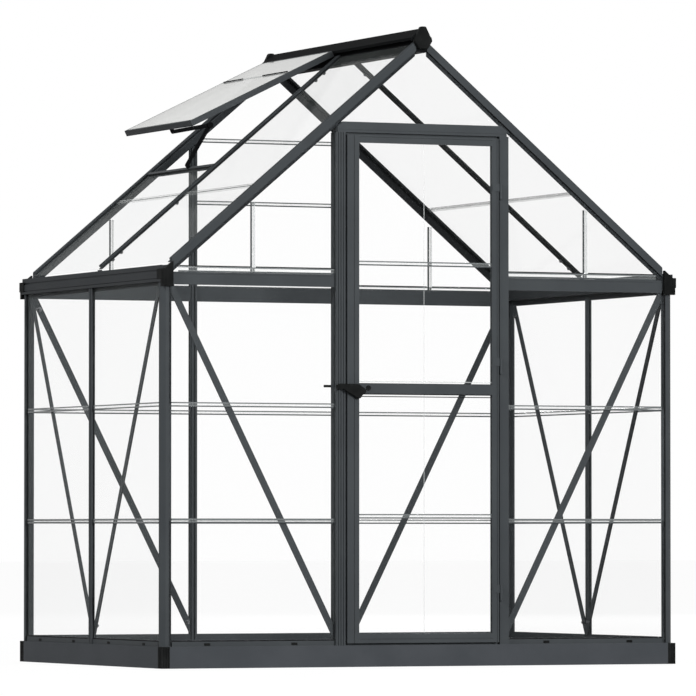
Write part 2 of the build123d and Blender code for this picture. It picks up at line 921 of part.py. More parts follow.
def roof_pane(x0, x1, y0, y1):
    """Left roof pane between two distances from the middle."""
    points = [
        roof_point(x0, pane_depth),
        roof_point(x1, pane_depth),
        roof_point(x1, pane_inner),
        roof_point(x0, pane_inner),
    ]
    return sheet(points, y0, y1)


roof_edge = eave_cut + gutter_wall + pane_inner * lean
roof_head = ridge_half + seat_gap + pane_inner * lean
joint_half = pane_edge * rise
roof_low = roof_pane(roof_joint_offset + joint_half, roof_edge, side_pane_inner, side_pane_outer)
roof_high = roof_pane(roof_head, roof_joint_offset - joint_half, side_pane_inner, side_pane_outer)
sill_gap = (vent_sill_half / 2 + seat_gap) * rise
vent_low = roof_pane(vent_sill_offset + sill_gap, roof_joint_offset - joint_half, side_pane_inner, side_pane_outer)
panes_roof_left = [flip_y(roof_high), flip_y(roof_low), roof_low, vent_low]
panes_roof_right = [flip_x(flip_y(roof_high)), flip_x(flip_y(roof_low)), flip_x(roof_low), flip_x(roof_high)]

# Clear joining strips
strip_outer_x = side_face - edge_reach - seat_gap
strip_front_x = jamb_outer + seat_gap
strip_back_x = back_bay_inner + seat_gap
strip_middle_x = middle_half - seat_gap
strip_side_outer = end_face - edge_reach - seat_gap
strip_side_inner = cap_half + seat_gap
strip_y = -end_face + pane_middle


def end_strip(x0, x1, z):
    """Strip along X in the front wall."""
    points = [(n, s) for s, n in strip_section()]
    return run(points, (x0, strip_y, z), (0, 1, 0), (1, 0, 0), x1 - x0)


def upright_strip(x, z0, z1):
    """Strip along Z in the front gable."""
    return run(strip_section(), (x, strip_y, z0), (1, 0, 0), (0, 0, 1), z1 - z0)


def side_strip(y0, y1, z):
    """Strip along Y in the left wall."""
    points = [(n, s) for s, n in strip_section()]
    return run(points, (-side_face + pane_middle, y1, z), (1, 0, 0), (0, -1, 0), y1 - y0)


def roof_strip(y0, y1):
    """Strip along Y in the left roof slope."""
    x, z = roof_point(roof_joint_offset, pane_middle)
    return run(strip_section(), (x, y1, z), down_left, (0, -1, 0), y1 - y0)


end_strips = []
side_strips = []
for level in [wall_joint_low, wall_joint_high]:
    front_strip = end_strip(strip_front_x, strip_outer_x, level)
    end_strips.extend([front_strip, flip_x(front_strip)])
    back_strip = flip_y(end_strip(strip_back_x, strip_outer_x, level))
    end_strips.extend([back_strip, flip_x(back_strip)])
    end_strips.append(flip_y(end_strip(-strip_middle_x, strip_middle_x, level)))
    left_strip = side_strip(strip_side_inner, strip_side_outer, level)
    for strip in [left_strip, flip_y(left_strip)]:
        side_strips.extend([strip, flip_x(strip)])
strip_top = roof_z(gable_joint_offset + strip_width / 2, edge_reach + seat_gap)
gable_strip = upright_strip(gable_joint_offset, eave_top + seat_gap, strip_top)
back_gable_strip = flip_y(upright_strip(gable_joint_offset, back_eave_top + seat_gap, strip_top))
gable_strips = [gable_strip, flip_x(gable_strip), back_gable_strip, flip_x(back_gable_strip)]
gable_strips.append(flip_y(end_strip(-strip_middle_x, strip_middle_x, back_joint_low)))
high_strip_half = roof_x(back_joint_high + strip_width / 2, edge_reach + seat_gap)
gable_strips.append(flip_y(end_strip(-high_strip_half, high_strip_half, back_joint_high)))
roof_strip_left = roof_strip(strip_side_inner, strip_side_outer)
roof_strips = []
for strip in [roof_strip_left, flip_y(roof_strip_left)]:
    roof_strips.extend([strip, flip_x(strip)])


# Flat braces behind the flanges
def flat_bar(a, b, across):
    """Outline of a flat bar of a given width between two points."""
    run_a = b[0] - a[0]
    run_b = b[1] - a[1]
    length = (run_a * run_a + run_b * run_b) ** 0.5
    off_a = -run_b / length * across / 2
    off_b = run_a / length * across / 2
    return [
        (a[0] + off_a, a[1] + off_b),
        (b[0] + off_a, b[1] + off_b),
        (b[0] - off_a, b[1] - off_b),
        (a[0] - off_a, a[1] - off_b),
    ]


brace_y = -end_face + flange_inner
brace_top = eave_bottom - brace_head_gap
brace_foot = base_height + brace_foot_rise
end_brace_high = side_face - end_brace_inset
end_brace_low = jamb_outer - end_brace_lap
side_brace_high = end_face - side_brace_inset
brace_window = block(
    jamb_outer + seat_gap, side_face - flange_inner - seat_gap, -far, far, base_height + sill_floor, eave_bottom
)
end_brace = flat_bar((end_brace_low, brace_foot), (end_brace_high, brace_top), brace_width)
brace_front_right = sheet(end_brace, brace_y, brace_y + brace_thickness)
brace_front_right &= brace_window
braces_front = [flip_x(brace_front_right), brace_front_right]
braces_back = [flip_y(flip_x(brace_front_right)), flip_y(brace_front_right)]
side_window = block(
    -far,
    far,
    seat_gap,
    end_face - flange_inner - brace_thickness - seat_gap,
    base_height + sill_floor,
    eave_bottom,
)
side_brace = flat_bar((-side_brace_lap, brace_foot), (side_brace_high, brace_top), brace_width)
brace_left_back = run(side_brace, (-side_face + flange_inner, 0, 0), (0, 1, 0), (1, 0, 0), brace_thickness)
brace_left_back &= side_window
braces_left = [flip_y(brace_left_back), brace_left_back]
braces_right = [flip_x(flip_y(brace_left_back)), flip_x(brace_left_back)]

# Door leaf
leaf_y0 = -end_face - leaf_front
leaf_y1 = leaf_y0 + leaf_depth
leaf_pane_y0 = leaf_y0 + (leaf_depth - pane_thickness) / 2
leaf_pane_y1 = leaf_pane_y0 + pane_thickness
slot_y0 = (leaf_depth - pane_thickness) / 2 - seat_gap
slot_y1 = (leaf_depth + pane_thickness) / 2 + seat_gap


def leaf_section(size):
    """Door bar: front groove, plain edge and a pane slot in the far edge."""
    return [
        (0, 0),
        (size - leaf_groove_inset, 0),
        (size - leaf_groove_inset, leaf_groove),
        (size - leaf_groove_inset + leaf_groove_width, leaf_groove),
        (size - leaf_groove_inset + leaf_groove_width, 0),
        (size, 0),
        (size, slot_y0),
        (size - leaf_slot, slot_y0),
        (size - leaf_slot, slot_y1),
        (size, slot_y1),
        (size, leaf_depth),
        (0, leaf_depth),
    ]


leaf_height = leaf_top - leaf_bottom
lower_low = leaf_bottom + leaf_bottom_rail
upper_low = leaf_mid_bottom + leaf_mid_rail
upper_high = leaf_top - leaf_top_rail
leaf_joint_low = lower_low + leaf_joint_low_share * (leaf_mid_bottom - lower_low)
leaf_joint_high = upper_low + leaf_joint_high_share * (upper_high - upper_low)
stile_left = run(
    leaf_section(latch_stile), (-leaf_half, leaf_y0, leaf_bottom), (1, 0, 0), (0, 0, 1), leaf_height
)
stile_right = flip_x(
    run(leaf_section(hinge_stile), (-leaf_half, leaf_y0, leaf_bottom), (1, 0, 0), (0, 0, 1), leaf_height)
)
rail_x0 = -leaf_half + latch_stile
rail_x1 = leaf_half - hinge_stile
rail_span = rail_x1 - rail_x0


def leaf_rail(size):
    """Door rail section as depth and height, slot at the top edge."""
    return [(n, s) for s, n in leaf_section(size)]


bottom_rail = run(
    leaf_rail(leaf_bottom_rail), (rail_x0, leaf_y0, leaf_bottom), (0, 1, 0), (1, 0, 0), rail_span
)
top_points = [(n, -s) for n, s in leaf_rail(leaf_top_rail)]
top_rail = run(top_points, (rail_x0, leaf_y0, leaf_top), (0, 1, 0), (1, 0, 0), rail_span)
mid_points = [
    (0, 0),
    (slot_y0, 0),
    (slot_y0, leaf_slot),
    (slot_y1, leaf_slot),
    (slot_y1, 0),
    (leaf_depth, 0),
    (leaf_depth, leaf_mid_rail),
    (slot_y1, leaf_mid_rail),
    (slot_y1, leaf_mid_rail - leaf_slot),
    (slot_y0, leaf_mid_rail - leaf_slot),
    (slot_y0, leaf_mid_rail),
    (0, leaf_mid_rail),
]
mid_rail = run(mid_points, (rail_x0, leaf_y0, leaf_mid_bottom), (0, 1, 0), (1, 0, 0), rail_span)
leaf_rails = [bottom_rail, mid_rail, top_rail]
leaf_pane_x0 = rail_x0 - leaf_slot + seat_gap
leaf_pane_x1 = rail_x1 + leaf_slot - seat_gap
leaf_levels = [
    (leaf_bottom + leaf_bottom_rail - leaf_slot + seat_gap, leaf_joint_low - pane_edge),
    (leaf_joint_low + pane_edge, leaf_mid_bottom + leaf_slot - seat_gap),
    (leaf_mid_bottom + leaf_mid_rail - leaf_slot + seat_gap, leaf_joint_high - pane_edge),
    (leaf_joint_high + pane_edge, leaf_top - leaf_top_rail + leaf_slot - seat_gap),
]
leaf_panes = []
for low, high in leaf_levels:
    leaf_panes.append(block(leaf_pane_x0, leaf_pane_x1, leaf_pane_y0, leaf_pane_y1, low, high))
leaf_strips = []
for level in [leaf_joint_low, leaf_joint_high]:
    points = [(n, s) for s, n in strip_section()]
    start = (rail_x0 + seat_gap, (leaf_pane_y0 + leaf_pane_y1) / 2, level)
    leaf_strips.append(run(points, start, (0, 1, 0), (1, 0, 0), rail_span - 2 * seat_gap))

# Door hinges: knuckles on the leaf turn on pins fixed to the jamb
hinge_x = jamb_inner + hinge_side
hinge_y = leaf_y0 - hinge_forward
hinge_levels = [leaf_bottom + hinge_low_rise, leaf_mid_bottom + hinge_mid_rise, leaf_top - hinge_high_drop]
leaf_knuckles = []
jamb_brackets = []
for level in hinge_levels:
    top = level + knuckle_height
    leaf_plate_x0 = hinge_x - hinge_plate_width - knuckle_radius
    leaf_plate = block(leaf_plate_x0, hinge_x, leaf_y0 - hinge_plate, leaf_y0, level, top)
    barrel = Pos(hinge_x, hinge_y, level + knuckle_height / 2) * Cylinder(knuckle_radius, knuckle_height)
    bore = Pos(hinge_x, hinge_y, level + knuckle_height / 2) * Cylinder(
        pin_radius + seat_gap, knuckle_height + overrun
    )
    leaf_plate -= bore
    leaf_knuckles.append(leaf_plate + barrel - bore)
    foot_z0 = level - knuckle_height - seat_gap
    foot_z1 = level - seat_gap
    plate_x0 = hinge_x - pin_radius + seat_gap
    plate = block(plate_x0, hinge_x + hinge_plate_width, jamb_face - hinge_plate, jamb_face, foot_z0, foot_z1)
    arm = block(plate_x0, hinge_x + pin_radius, hinge_y, jamb_face, foot_z0, foot_z1)
    foot = Pos(hinge_x, hinge_y, (foot_z0 + foot_z1) / 2) * Cylinder(knuckle_radius, foot_z1 - foot_z0)
    pin = Pos(hinge_x, hinge_y, (foot_z0 + top) / 2) * Cylinder(pin_radius, top - foot_z0)
    jamb_brackets.append(plate + arm + foot + pin)

# Lever handle on the latch stile
lever_pivot_x = -leaf_half + lever_pivot_inset
lever_pivot_z = leaf_mid_bottom + lever_pivot_rise
lever_top = leaf_mid_bottom + lever_rise
lever_left = -leaf_half - lever_knob_reach
lock_x = -leaf_half + lock_inset
lock_z = leaf_mid_bottom + lock_rise
facing = Plane(origin=(lever_pivot_x, leaf_y0, lever_pivot_z), x_dir=(1, 0, 0), z_dir=(0, -1, 0))
rose = extrude(facing * Circle(rose_radius), amount=rose_thickness)
rose -= extrude(facing * Circle(spindle_radius + seat_gap), amount=rose_thickness)
lock_facing = Plane(origin=(lock_x, leaf_y0, lock_z), x_dir=(1, 0, 0), z_dir=(0, -1, 0))
lock = extrude(lock_facing * Circle(lock_radius), amount=lock_thickness)
lock -= extrude(lock_facing * Circle(lock_bore_radius), amount=lock_thickness)
lock += extrude(lock_facing * Circle(lock_bore_radius), amount=lock_plug_depth)
lever_back = leaf_y0 - rose_thickness - lever_gap
lever_front = lever_back - lever_thickness
lever_points = [
    (lever_left, lever_top),
    (lever_pivot_x + lever_heel, lever_top),
    (lever_pivot_x + lever_heel, lever_pivot_z - lever_lobe_drop),
    (-leaf_half + lever_waist_inset, lever_pivot_z - lever_lobe_drop - lever_waist_drop / 2),
    (-leaf_half + lever_neck_run, lever_top - lever_neck_drop),
    (lever_left, lever_top - lever_knob_drop),
]


def lever_disc(x, z, radius):
    """Round lobe of the lever."""
    disc = Plane(origin=(x, lever_back, z), x_dir=(1, 0, 0), z_dir=(0, -1, 0)) * Circle(radius)
    return extrude(disc, amount=lever_thickness)


lever_blade = sheet(lever_points, lever_front, lever_back)
lever_blade += lever_disc(lever_left, lever_top - lever_knob_drop, lever_knob_radius)
lever_blade += lever_disc(lever_pivot_x + lever_heel / 2, lever_pivot_z - lever_lobe_drop, lever_lobe_radius)
lever_blade = fillet(lever_blade.faces().sort_by(Axis.Y)[0].edges(), radius=lever_edge_round)
lever_spindle = extrude(facing * Circle(spindle_radius), amount=rose_thickness + lever_gap + lever_thickness / 2)
door_handle = lever_blade + lever_spindle

# Keeper fixed behind the latch jamb
keeper_y0 = jamb_face + jamb_depth
keeper_x = -jamb_outer
keeper_bottom = leaf_mid_bottom + keeper_rise
keeper = block(
    keeper_x - keeper_reach,
    keeper_x + jamb_width / 2,
    keeper_y0,
    keeper_y0 + keeper_wall,
    keeper_bottom,
    keeper_bottom + keeper_height,
)
keeper += block(
    keeper_x - keeper_reach,
    keeper_x - keeper_reach + keeper_hook,
    keeper_y0 - keeper_depth,
    keeper_y0 + keeper_wall,
    keeper_bottom,
    keeper_bottom + keeper_height,
)

# Open roof vent
vent_cos = cos(radians(vent_angle_deg))
vent_sin = sin(radians(vent_angle_deg))
vent_down = (-vent_cos, 0, -vent_sin)
vent_inward = (vent_sin, 0, -vent_cos)
wing_tip_z = wing_edge - ridge_wing_drop
vent_head_x = -ridge_wing_half - seat_gap * vent_cos - vent_head_rise * vent_sin
vent_head_z = wing_tip_z - seat_gap * vent_sin + vent_head_rise * vent_cos
vent_length = (vent_sill_offset + vent_head_x) / rise + vent_overlap
vent_end = end_face - vent_end_gap
rail_outline = [
    (0, 0),
    (vent_rebate, 0),
    (vent_rebate, pane_thickness),
    (vent_rail, pane_thickness),
    (vent_rail, vent_rail_depth),
    (0, vent_rail_depth),
]
vent_head = (vent_head_x, vent_start, vent_head_z)
vent_side_near = run(rail_outline, vent_head, (0, 1, 0), vent_down, vent_length)
mirror_plane = Plane(origin=(0, (vent_start + vent_end) / 2, 0), z_dir=(0, 1, 0))
vent_side_far = mirror(vent_side_near, about=mirror_plane)
cross_length = vent_end - vent_start - 2 * vent_rail
cross_start = (vent_head_x, vent_end - vent_rail, vent_head_z)
vent_top_rail = run(rail_outline, cross_start, vent_down, (0, -1, 0), cross_length)
foot_x = vent_head_x - vent_length * vent_cos
foot_z = vent_head_z - vent_length * vent_sin
up_slope = (vent_cos, 0, vent_sin)
vent_bottom_rail = run(rail_outline, (foot_x, vent_start + vent_rail, foot_z), up_slope, (0, 1, 0), cross_length)
vent_rails = [vent_side_near, vent_side_far]
vent_cross = [vent_top_rail, vent_bottom_rail]
inset = vent_rebate + seat_gap
vent_plane = Plane(
    origin=(vent_head_x - inset * vent_cos, vent_start + inset, vent_head_z - inset * vent_sin),
    x_dir=(0, 1, 0),
    z_dir=vent_inward,
)
pane_across = vent_end - vent_start - 2 * inset
pane_along = vent_length - 2 * inset
vent_box = Box(pane_across, pane_along, pane_thickness, align=(Align.MIN, Align.MAX, Align.MIN))
vent_pane = vent_plane * vent_box

# Sill bar under the vent opening
sill_x = -vent_sill_offset
sill_z = roof_z(vent_sill_offset, 0)
vent_sill_points = [
    (-vent_sill_half / 2, 0),
    (vent_sill_half / 2, 0),
    (vent_sill_half / 2, pane_inner),
    (vent_sill_half, pane_inner),
    (vent_sill_half, flange_inner),
    (-vent_sill_half, flange_inner),
    (-vent_sill_half, pane_inner),
    (-vent_sill_half / 2, pane_inner),
]
vent_sill_start = (sill_x, end_face - edge_reach - seat_gap, sill_z)
vent_sill = run(
    vent_sill_points, vent_sill_start, down_left, (0, -1, 0), end_face - edge_reach - cap_half - 2 * seat_gap
)


# Folding stay that holds the vent open
def vent_point(along, below):
    """Point of the vent, a given way down it and below its top face."""
    x = vent_head_x - along * vent_cos + below * vent_sin
    z = vent_head_z - along * vent_sin - below * vent_cos
    return (x, z)


def link(a, b):
    """Flat stay bar between two points."""
    return sheet(flat_bar(a, b, stay_width), stay_y, stay_y + stay_thickness)


stay_y = vent_start + stay_y_share * (vent_end - vent_start)
stay_along = vent_length - vent_rail / 2
stay_seat = vent_point(stay_along, vent_rail_depth + seat_gap)
stay_head = vent_point(stay_along, vent_rail_depth + stay_lug)
stay_knee_x = stay_head[0] + stay_knee_run
stay_knee_z = stay_head[1] + stay_knee_rise
stay_knee = (stay_knee_x, stay_knee_z)
stay_foot = roof_point(vent_sill_offset, -stay_lug)
stay_base = roof_point(vent_sill_offset, -seat_gap)
knee_facing = Plane(origin=(stay_knee_x, stay_y + stay_thickness, stay_knee_z), x_dir=(1, 0, 0), z_dir=(0, -1, 0))
vent_stay = link(stay_seat, stay_head) + link(stay_head, stay_knee)
vent_stay += link(stay_knee, stay_foot) + link(stay_foot, stay_base)
vent_stay += extrude(knee_facing * Circle(knob_radius), amount=stay_thickness + knob_height)
for hub in [stay_head, stay_foot]:
    hub_facing = Plane(origin=(hub[0], stay_y + stay_thickness, hub[1]), x_dir=(1, 0, 0), z_dir=(0, -1, 0))
    vent_stay += extrude(hub_facing * Circle(stay_width / 2), amount=stay_thickness)


base_right = flip_x(base_left)
sill_right = [flip_x(sill) for sill in sill_left]
panes_right = [flip_x(pane) for pane in panes_left]
nodes = {
    "base_ends": [base_front, flip_y(base_front)],
    "base_sides": [base_left, base_right],
    "base_corners": base_corners,
    "corner_posts": [post_front_left, post_front_right, post_back_left, post_back_right],
    "side_posts": side_posts,
    "back_posts": back_posts,
    "door_jambs": [jamb_left, jamb_right],
    "door_header": [door_header],
    "sill_front": sill_front,
    "sill_back": sill_back,
    "sills_sides": sill_left + sill_right,
    "eave_rail_front": eave_front,
    "eave_rail_back": eave_back,
    "gutter_left": [gutter_left],
    "gutter_right": [gutter_right],
    "gutter_end_caps": gutter_caps,
    "rafters_gables": rafters_front + rafters_back,
    "rafters_middle": rafters_middle,
    "ridge_beam": [ridge_beam],
    "ridge_end_caps": ridge_caps,
    "panes_end_walls": panes_front + panes_back,
    "panes_side_walls": panes_left + panes_right,
    "panes_gables": panes_front_gable + panes_back_gable,
    "panes_roof": panes_roof_left + panes_roof_right,
    "strips_end_walls": end_strips,
    "strips_side_walls": side_strips,
    "strips_gables": gable_strips,
    "strips_roof": roof_strips,
    "braces_end_walls": braces_front + braces_back,
    "braces_side_walls": braces_left + braces_right,
    "vent_side_rails": vent_rails,
    "vent_cross_rails": vent_cross,
    "vent_pane": [vent_pane],
    "vent_sill": [vent_sill],
    "vent_stay": [vent_stay],
    "hinge_brackets": jamb_brackets,
    "latch_keeper": [keeper],
    "door_stiles": [stile_left, stile_right],
    "door_rails": leaf_rails,
    "door_panes": leaf_panes,
    "door_strips": leaf_strips,
    "door_hinge_leaves": leaf_knuckles,
    "door_fittings": [rose, lock],
    "door_handle": [door_handle],
}

os.makedirs("parts", exist_ok=True)
for name, shapes in nodes.items():
    export_step(group(shapes), os.path.join("parts", name + ".step"))
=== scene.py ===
"""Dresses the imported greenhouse: coated frame, clear panes, strips, seals, fixings, studio and camera.

Every size is in metres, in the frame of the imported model.
"""
import json
import logging
import math
from dataclasses import dataclass, replace
from enum import Enum

import bpy
import numpy as np
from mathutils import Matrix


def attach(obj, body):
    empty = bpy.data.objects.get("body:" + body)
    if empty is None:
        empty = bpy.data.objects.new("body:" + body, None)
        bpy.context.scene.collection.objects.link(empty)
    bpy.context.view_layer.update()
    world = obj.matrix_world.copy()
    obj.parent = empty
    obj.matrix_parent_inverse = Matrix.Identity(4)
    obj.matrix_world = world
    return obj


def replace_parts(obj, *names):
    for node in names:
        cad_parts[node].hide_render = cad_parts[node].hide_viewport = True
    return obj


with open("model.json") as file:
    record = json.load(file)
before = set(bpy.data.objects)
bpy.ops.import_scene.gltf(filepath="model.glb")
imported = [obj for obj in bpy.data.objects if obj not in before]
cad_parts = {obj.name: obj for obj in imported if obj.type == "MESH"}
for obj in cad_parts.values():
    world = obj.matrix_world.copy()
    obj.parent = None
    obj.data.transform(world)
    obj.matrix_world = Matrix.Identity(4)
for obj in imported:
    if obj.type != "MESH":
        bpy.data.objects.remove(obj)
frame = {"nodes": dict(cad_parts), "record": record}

LOG = logging.getLogger("greenhouse")
Colour = tuple[float, float, float]
Point = tuple[float, float, float]
Pair = tuple[float, float]


class Body(Enum):
    """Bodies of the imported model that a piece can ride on."""

    HOUSE = "house"
    DOOR = "door"
    HANDLE = "handle"


class Slot(Enum):
    """Material slots of the record."""

    FRAME = "frame"
    BASE = "base_steel"
    BLACK = "black_plastic"
    PANES = "panes"
    STRIPS = "clear_strips"


class Value:
    """One shader number: an output socket whose arithmetic adds Math nodes."""

    def __init__(self, graph: "Graph", socket: bpy.types.NodeSocket) -> None:
        """Keeps the graph that owns the socket and the socket itself."""
        self.graph = graph
        self.socket = socket

    def _math(self, operation: str, first: object, second: object) -> "Value":
        """Adds one Math node.

        Args:
            operation: name of the sum, as the Math node spells it.
            first: left-hand value or number.
            second: right-hand value or number.

        Returns:
            The result as a new value.
        """
        made = self.graph.node("ShaderNodeMath", {"operation": operation}, {0: first, 1: second})
        return Value(self.graph, made.outputs[0])

    def __add__(self, other: object) -> "Value":
        """Sum."""
        return self._math("ADD", self, other)

    def __radd__(self, other: object) -> "Value":
        """Sum with the number on the left."""
        return self._math("ADD", other, self)

    def __sub__(self, other: object) -> "Value":
        """Difference."""
        return self._math("SUBTRACT", self, other)

    def __rsub__(self, other: object) -> "Value":
        """Difference with the number on the left."""
        return self._math("SUBTRACT", other, self)

    def __mul__(self, other: object) -> "Value":
        """Product."""
        return self._math("MULTIPLY", self, other)

    def __rmul__(self, other: object) -> "Value":
        """Product with the number on the left."""
        return self._math("MULTIPLY", other, self)

    def __pow__(self, other: object) -> "Value":
        """Power."""
        return self._math("POWER", self, other)

    def __rpow__(self, other: object) -> "Value":
        """Power with the number on the left."""
        return self._math("POWER", other, self)

    def least(self, other: object) -> "Value":
        """The smaller of two values."""
        return self._math("MINIMUM", self, other)

    def most(self, other: object) -> "Value":
        """The larger of two values."""
        return self._math("MAXIMUM", self, other)


class Graph:
    """Node tree of one material or world, with one method that adds any node."""

    def __init__(self, tree: bpy.types.NodeTree) -> None:
        """Empties the tree so that only the finish's own nodes stay."""
        self.tree = tree
        tree.nodes.clear()

    def node(self, kind: str, settings: dict[str, object], sockets: dict[object, object]) -> bpy.types.Node:
        """Adds a node, sets it up and fills its sockets.

        Args:
            kind: type name of the node.
            settings: properties that are set first, such as a Math node's operation.
            sockets: input name or number to a plain value, a socket or a Value.

        Returns:
            The new node.
        """
        made = self.tree.nodes.new(kind)
        for name, setting in settings.items():
            setattr(made, name, setting)
        for name, content in sockets.items():
            source = content.socket if isinstance(content, Value) else content
            if isinstance(source, bpy.types.NodeSocket):
                self.tree.links.new(source, made.inputs[name])
            elif isinstance(source, tuple) and made.inputs[name].type == "RGBA":
                made.inputs[name].default_value = (*source, 1.0)
            else:
                made.inputs[name].default_value = source
        return made

    def place(self) -> bpy.types.NodeSocket:
        """Object coordinates of the surface, in metres."""
        return self.node("ShaderNodeTexCoord", {}, {}).outputs["Object"]

    def noise(self, where: bpy.types.NodeSocket, scale: float, detail: float, rough: float = 0.55) -> Value:
        """Cloudy noise from 0 to 1.

        Args:
            where: coordinates that the noise is read at.
            scale: cells per metre.
            detail: number of finer layers.
            rough: share that each finer layer keeps.

        Returns:
            The noise as a value.
        """
        made = self.node(
            "ShaderNodeTexNoise", {}, {"Vector": where, "Scale": scale, "Detail": detail, "Roughness": rough}
        )
        return Value(self, made.outputs[0])

    def ease(self, amount: Value, low: float, high: float) -> Value:
        """Smooth step of a value from 0 at low to 1 at high."""
        ends = {0: amount, 1: low, 2: high, 3: 0.0, 4: 1.0}
        made = self.node("ShaderNodeMapRange", {"interpolation_type": "SMOOTHSTEP"}, ends)
        return Value(self, made.outputs[0])

    def tint(self, share: object, first: object, second: object) -> bpy.types.NodeSocket:
        """Mixes two colours.

        Args:
            share: how much of the second colour shows, from 0 to 1.
            first: colour at 0.
            second: colour at 1.

        Returns:
            The mixed colour's socket.
        """
        made = self.node("ShaderNodeMix", {"data_type": "RGBA"}, {0: share, 6: first, 7: second})
        return made.outputs[2]

    def part(self, vector: bpy.types.NodeSocket, index: int) -> Value:
        """One coordinate of a vector: 0 for X, 1 for Y and 2 for Z."""
        return Value(self, self.node("ShaderNodeSeparateXYZ", {}, {0: vector}).outputs[index])

    def upward(self) -> Value:
        """How far the surface faces up, from -1 to 1."""
        return self.part(self.node("ShaderNodeNewGeometry", {}, {}).outputs["Normal"], 2)

    def edge(self, radius: float) -> Value:
        """How far the surface bends within a radius: 0 on flats, more along sharp edges."""
        rounded = self.node("ShaderNodeBevel", {"samples": 4}, {"Radius": radius}).outputs[0]
        flat = self.node("ShaderNodeNewGeometry", {}, {}).outputs["Normal"]
        dot = self.node("ShaderNodeVectorMath", {"operation": "DOT_PRODUCT"}, {0: rounded, 1: flat})
        return 1.0 - Value(self, dot.outputs["Value"])

    def bump(self, height: Value, depth: float, strength: float) -> bpy.types.NodeSocket:
        """Turns a height into a shading normal, with depth in metres."""
        made = self.node("ShaderNodeBump", {}, {"Strength": strength, "Distance": depth, "Height": height})
        return made.outputs[0]

    def finish(self, shader: bpy.types.NodeSocket, target: str = "ShaderNodeOutputMaterial") -> None:
        """Links the shader to the output."""
        self.node(target, {}, {"Surface": shader})

    def surface(self, sockets: dict[object, object]) -> None:
        """Links a Principled shader with the given sockets to the output."""
        self.finish(self.node("ShaderNodeBsdfPrincipled", {}, sockets).outputs[0])


def new_material(name: str) -> tuple[bpy.types.Material, Graph]:
    """Makes an empty node material.

    Args:
        name: name of the finish.

    Returns:
        The material and its graph.
    """
    material = bpy.data.materials.new(name)
    material.use_nodes = True
    return material, Graph(material.node_tree)


@dataclass(frozen=True)
class CoatedMetal:
    """Satin powder coat on metal: fine orange peel, slight cloudiness, dust, rubbed edges, and painted shade
    on the undersides.

    Past a given depth along Y, which lies beyond the house unless it is given, the coat right of the middle
    takes the deep colour on every face, as painted shade. Each span holds the two values that a mask eases
    between.
    """

    name: str
    colour: Colour
    # Colour of the painted shade, on undersides and on the far right parts.
    dark: Colour
    pale_edge: Colour
    dust: Colour
    deep: Colour
    back_shade_from: float = 9.0
    roughness: float = 0.46
    gloss: float = 0.03
    cloud_scale: float = 5.0
    cloud_span: Pair = (0.3, 0.72)
    underside_shade_span: Pair = (-0.75, -0.15)
    back_shade_width: float = 0.08
    right_shade_span: Pair = (0.0, 0.06)
    dust_scale: float = 22.0
    dust_span: Pair = (0.35, 0.75)
    level_span: Pair = (0.55, 1.0)
    dust_share: float = 0.35
    edge_radius: float = 0.0012
    edge_span: Pair = (0.01, 0.16)
    rub_scale: float = 60.0
    rub_span: Pair = (0.45, 0.65)
    rub_least: float = 0.35
    pale_edge_share: float = 0.6
    rough_cloud: float = 0.10
    rough_dust: float = 0.12
    rough_pale_edge: float = 0.08
    peel_scale: float = 1400.0
    peel_depth: float = 0.00006
    peel_strength: float = 0.5

    def make(self) -> bpy.types.Material:
        """Builds the material and returns it."""
        material, g = new_material(self.name)
        where = g.place()
        cloud = g.noise(where, self.cloud_scale, detail=4.0)
        peel = g.noise(where, self.peel_scale, detail=2.0)
        rub = g.noise(where, self.rub_scale, detail=5.0, rough=0.7)
        faded = g.tint(g.ease(cloud, *self.cloud_span), self.dark, self.colour)
        # Painted shade: faces that look downwards are tinted towards the deep colour.
        under = 1.0 - g.ease(g.upward(), *self.underside_shade_span)
        # Painted shade: past a depth along Y and right of the middle, every face takes the deep colour.
        past = g.ease(g.part(where, 1), self.back_shade_from, self.back_shade_from + self.back_shade_width)
        back_right_shade = past * g.ease(g.part(where, 0), *self.right_shade_span)
        coat = g.tint(under.most(back_right_shade), faded, self.deep)
        patches = g.ease(g.noise(where, self.dust_scale, detail=5.0), *self.dust_span)
        dusty = g.ease(g.upward(), *self.level_span) * patches * self.dust_share
        settled = g.tint(dusty, coat, self.dust)
        rubbed = self.rub_least + (1.0 - self.rub_least) * g.ease(rub, *self.rub_span)
        pale_edge_mask = g.ease(g.edge(self.edge_radius), *self.edge_span) * rubbed
        rough = self.roughness + self.rough_cloud * (cloud - 0.5) + self.rough_dust * dusty
        g.surface(
            {
                "Base Color": g.tint(pale_edge_mask * self.pale_edge_share, settled, self.pale_edge),
                "Roughness": rough - self.rough_pale_edge * pale_edge_mask,
                "Normal": g.bump(peel, self.peel_depth, self.peel_strength),
                "Specular IOR Level": self.gloss,
            }
        )
        return material


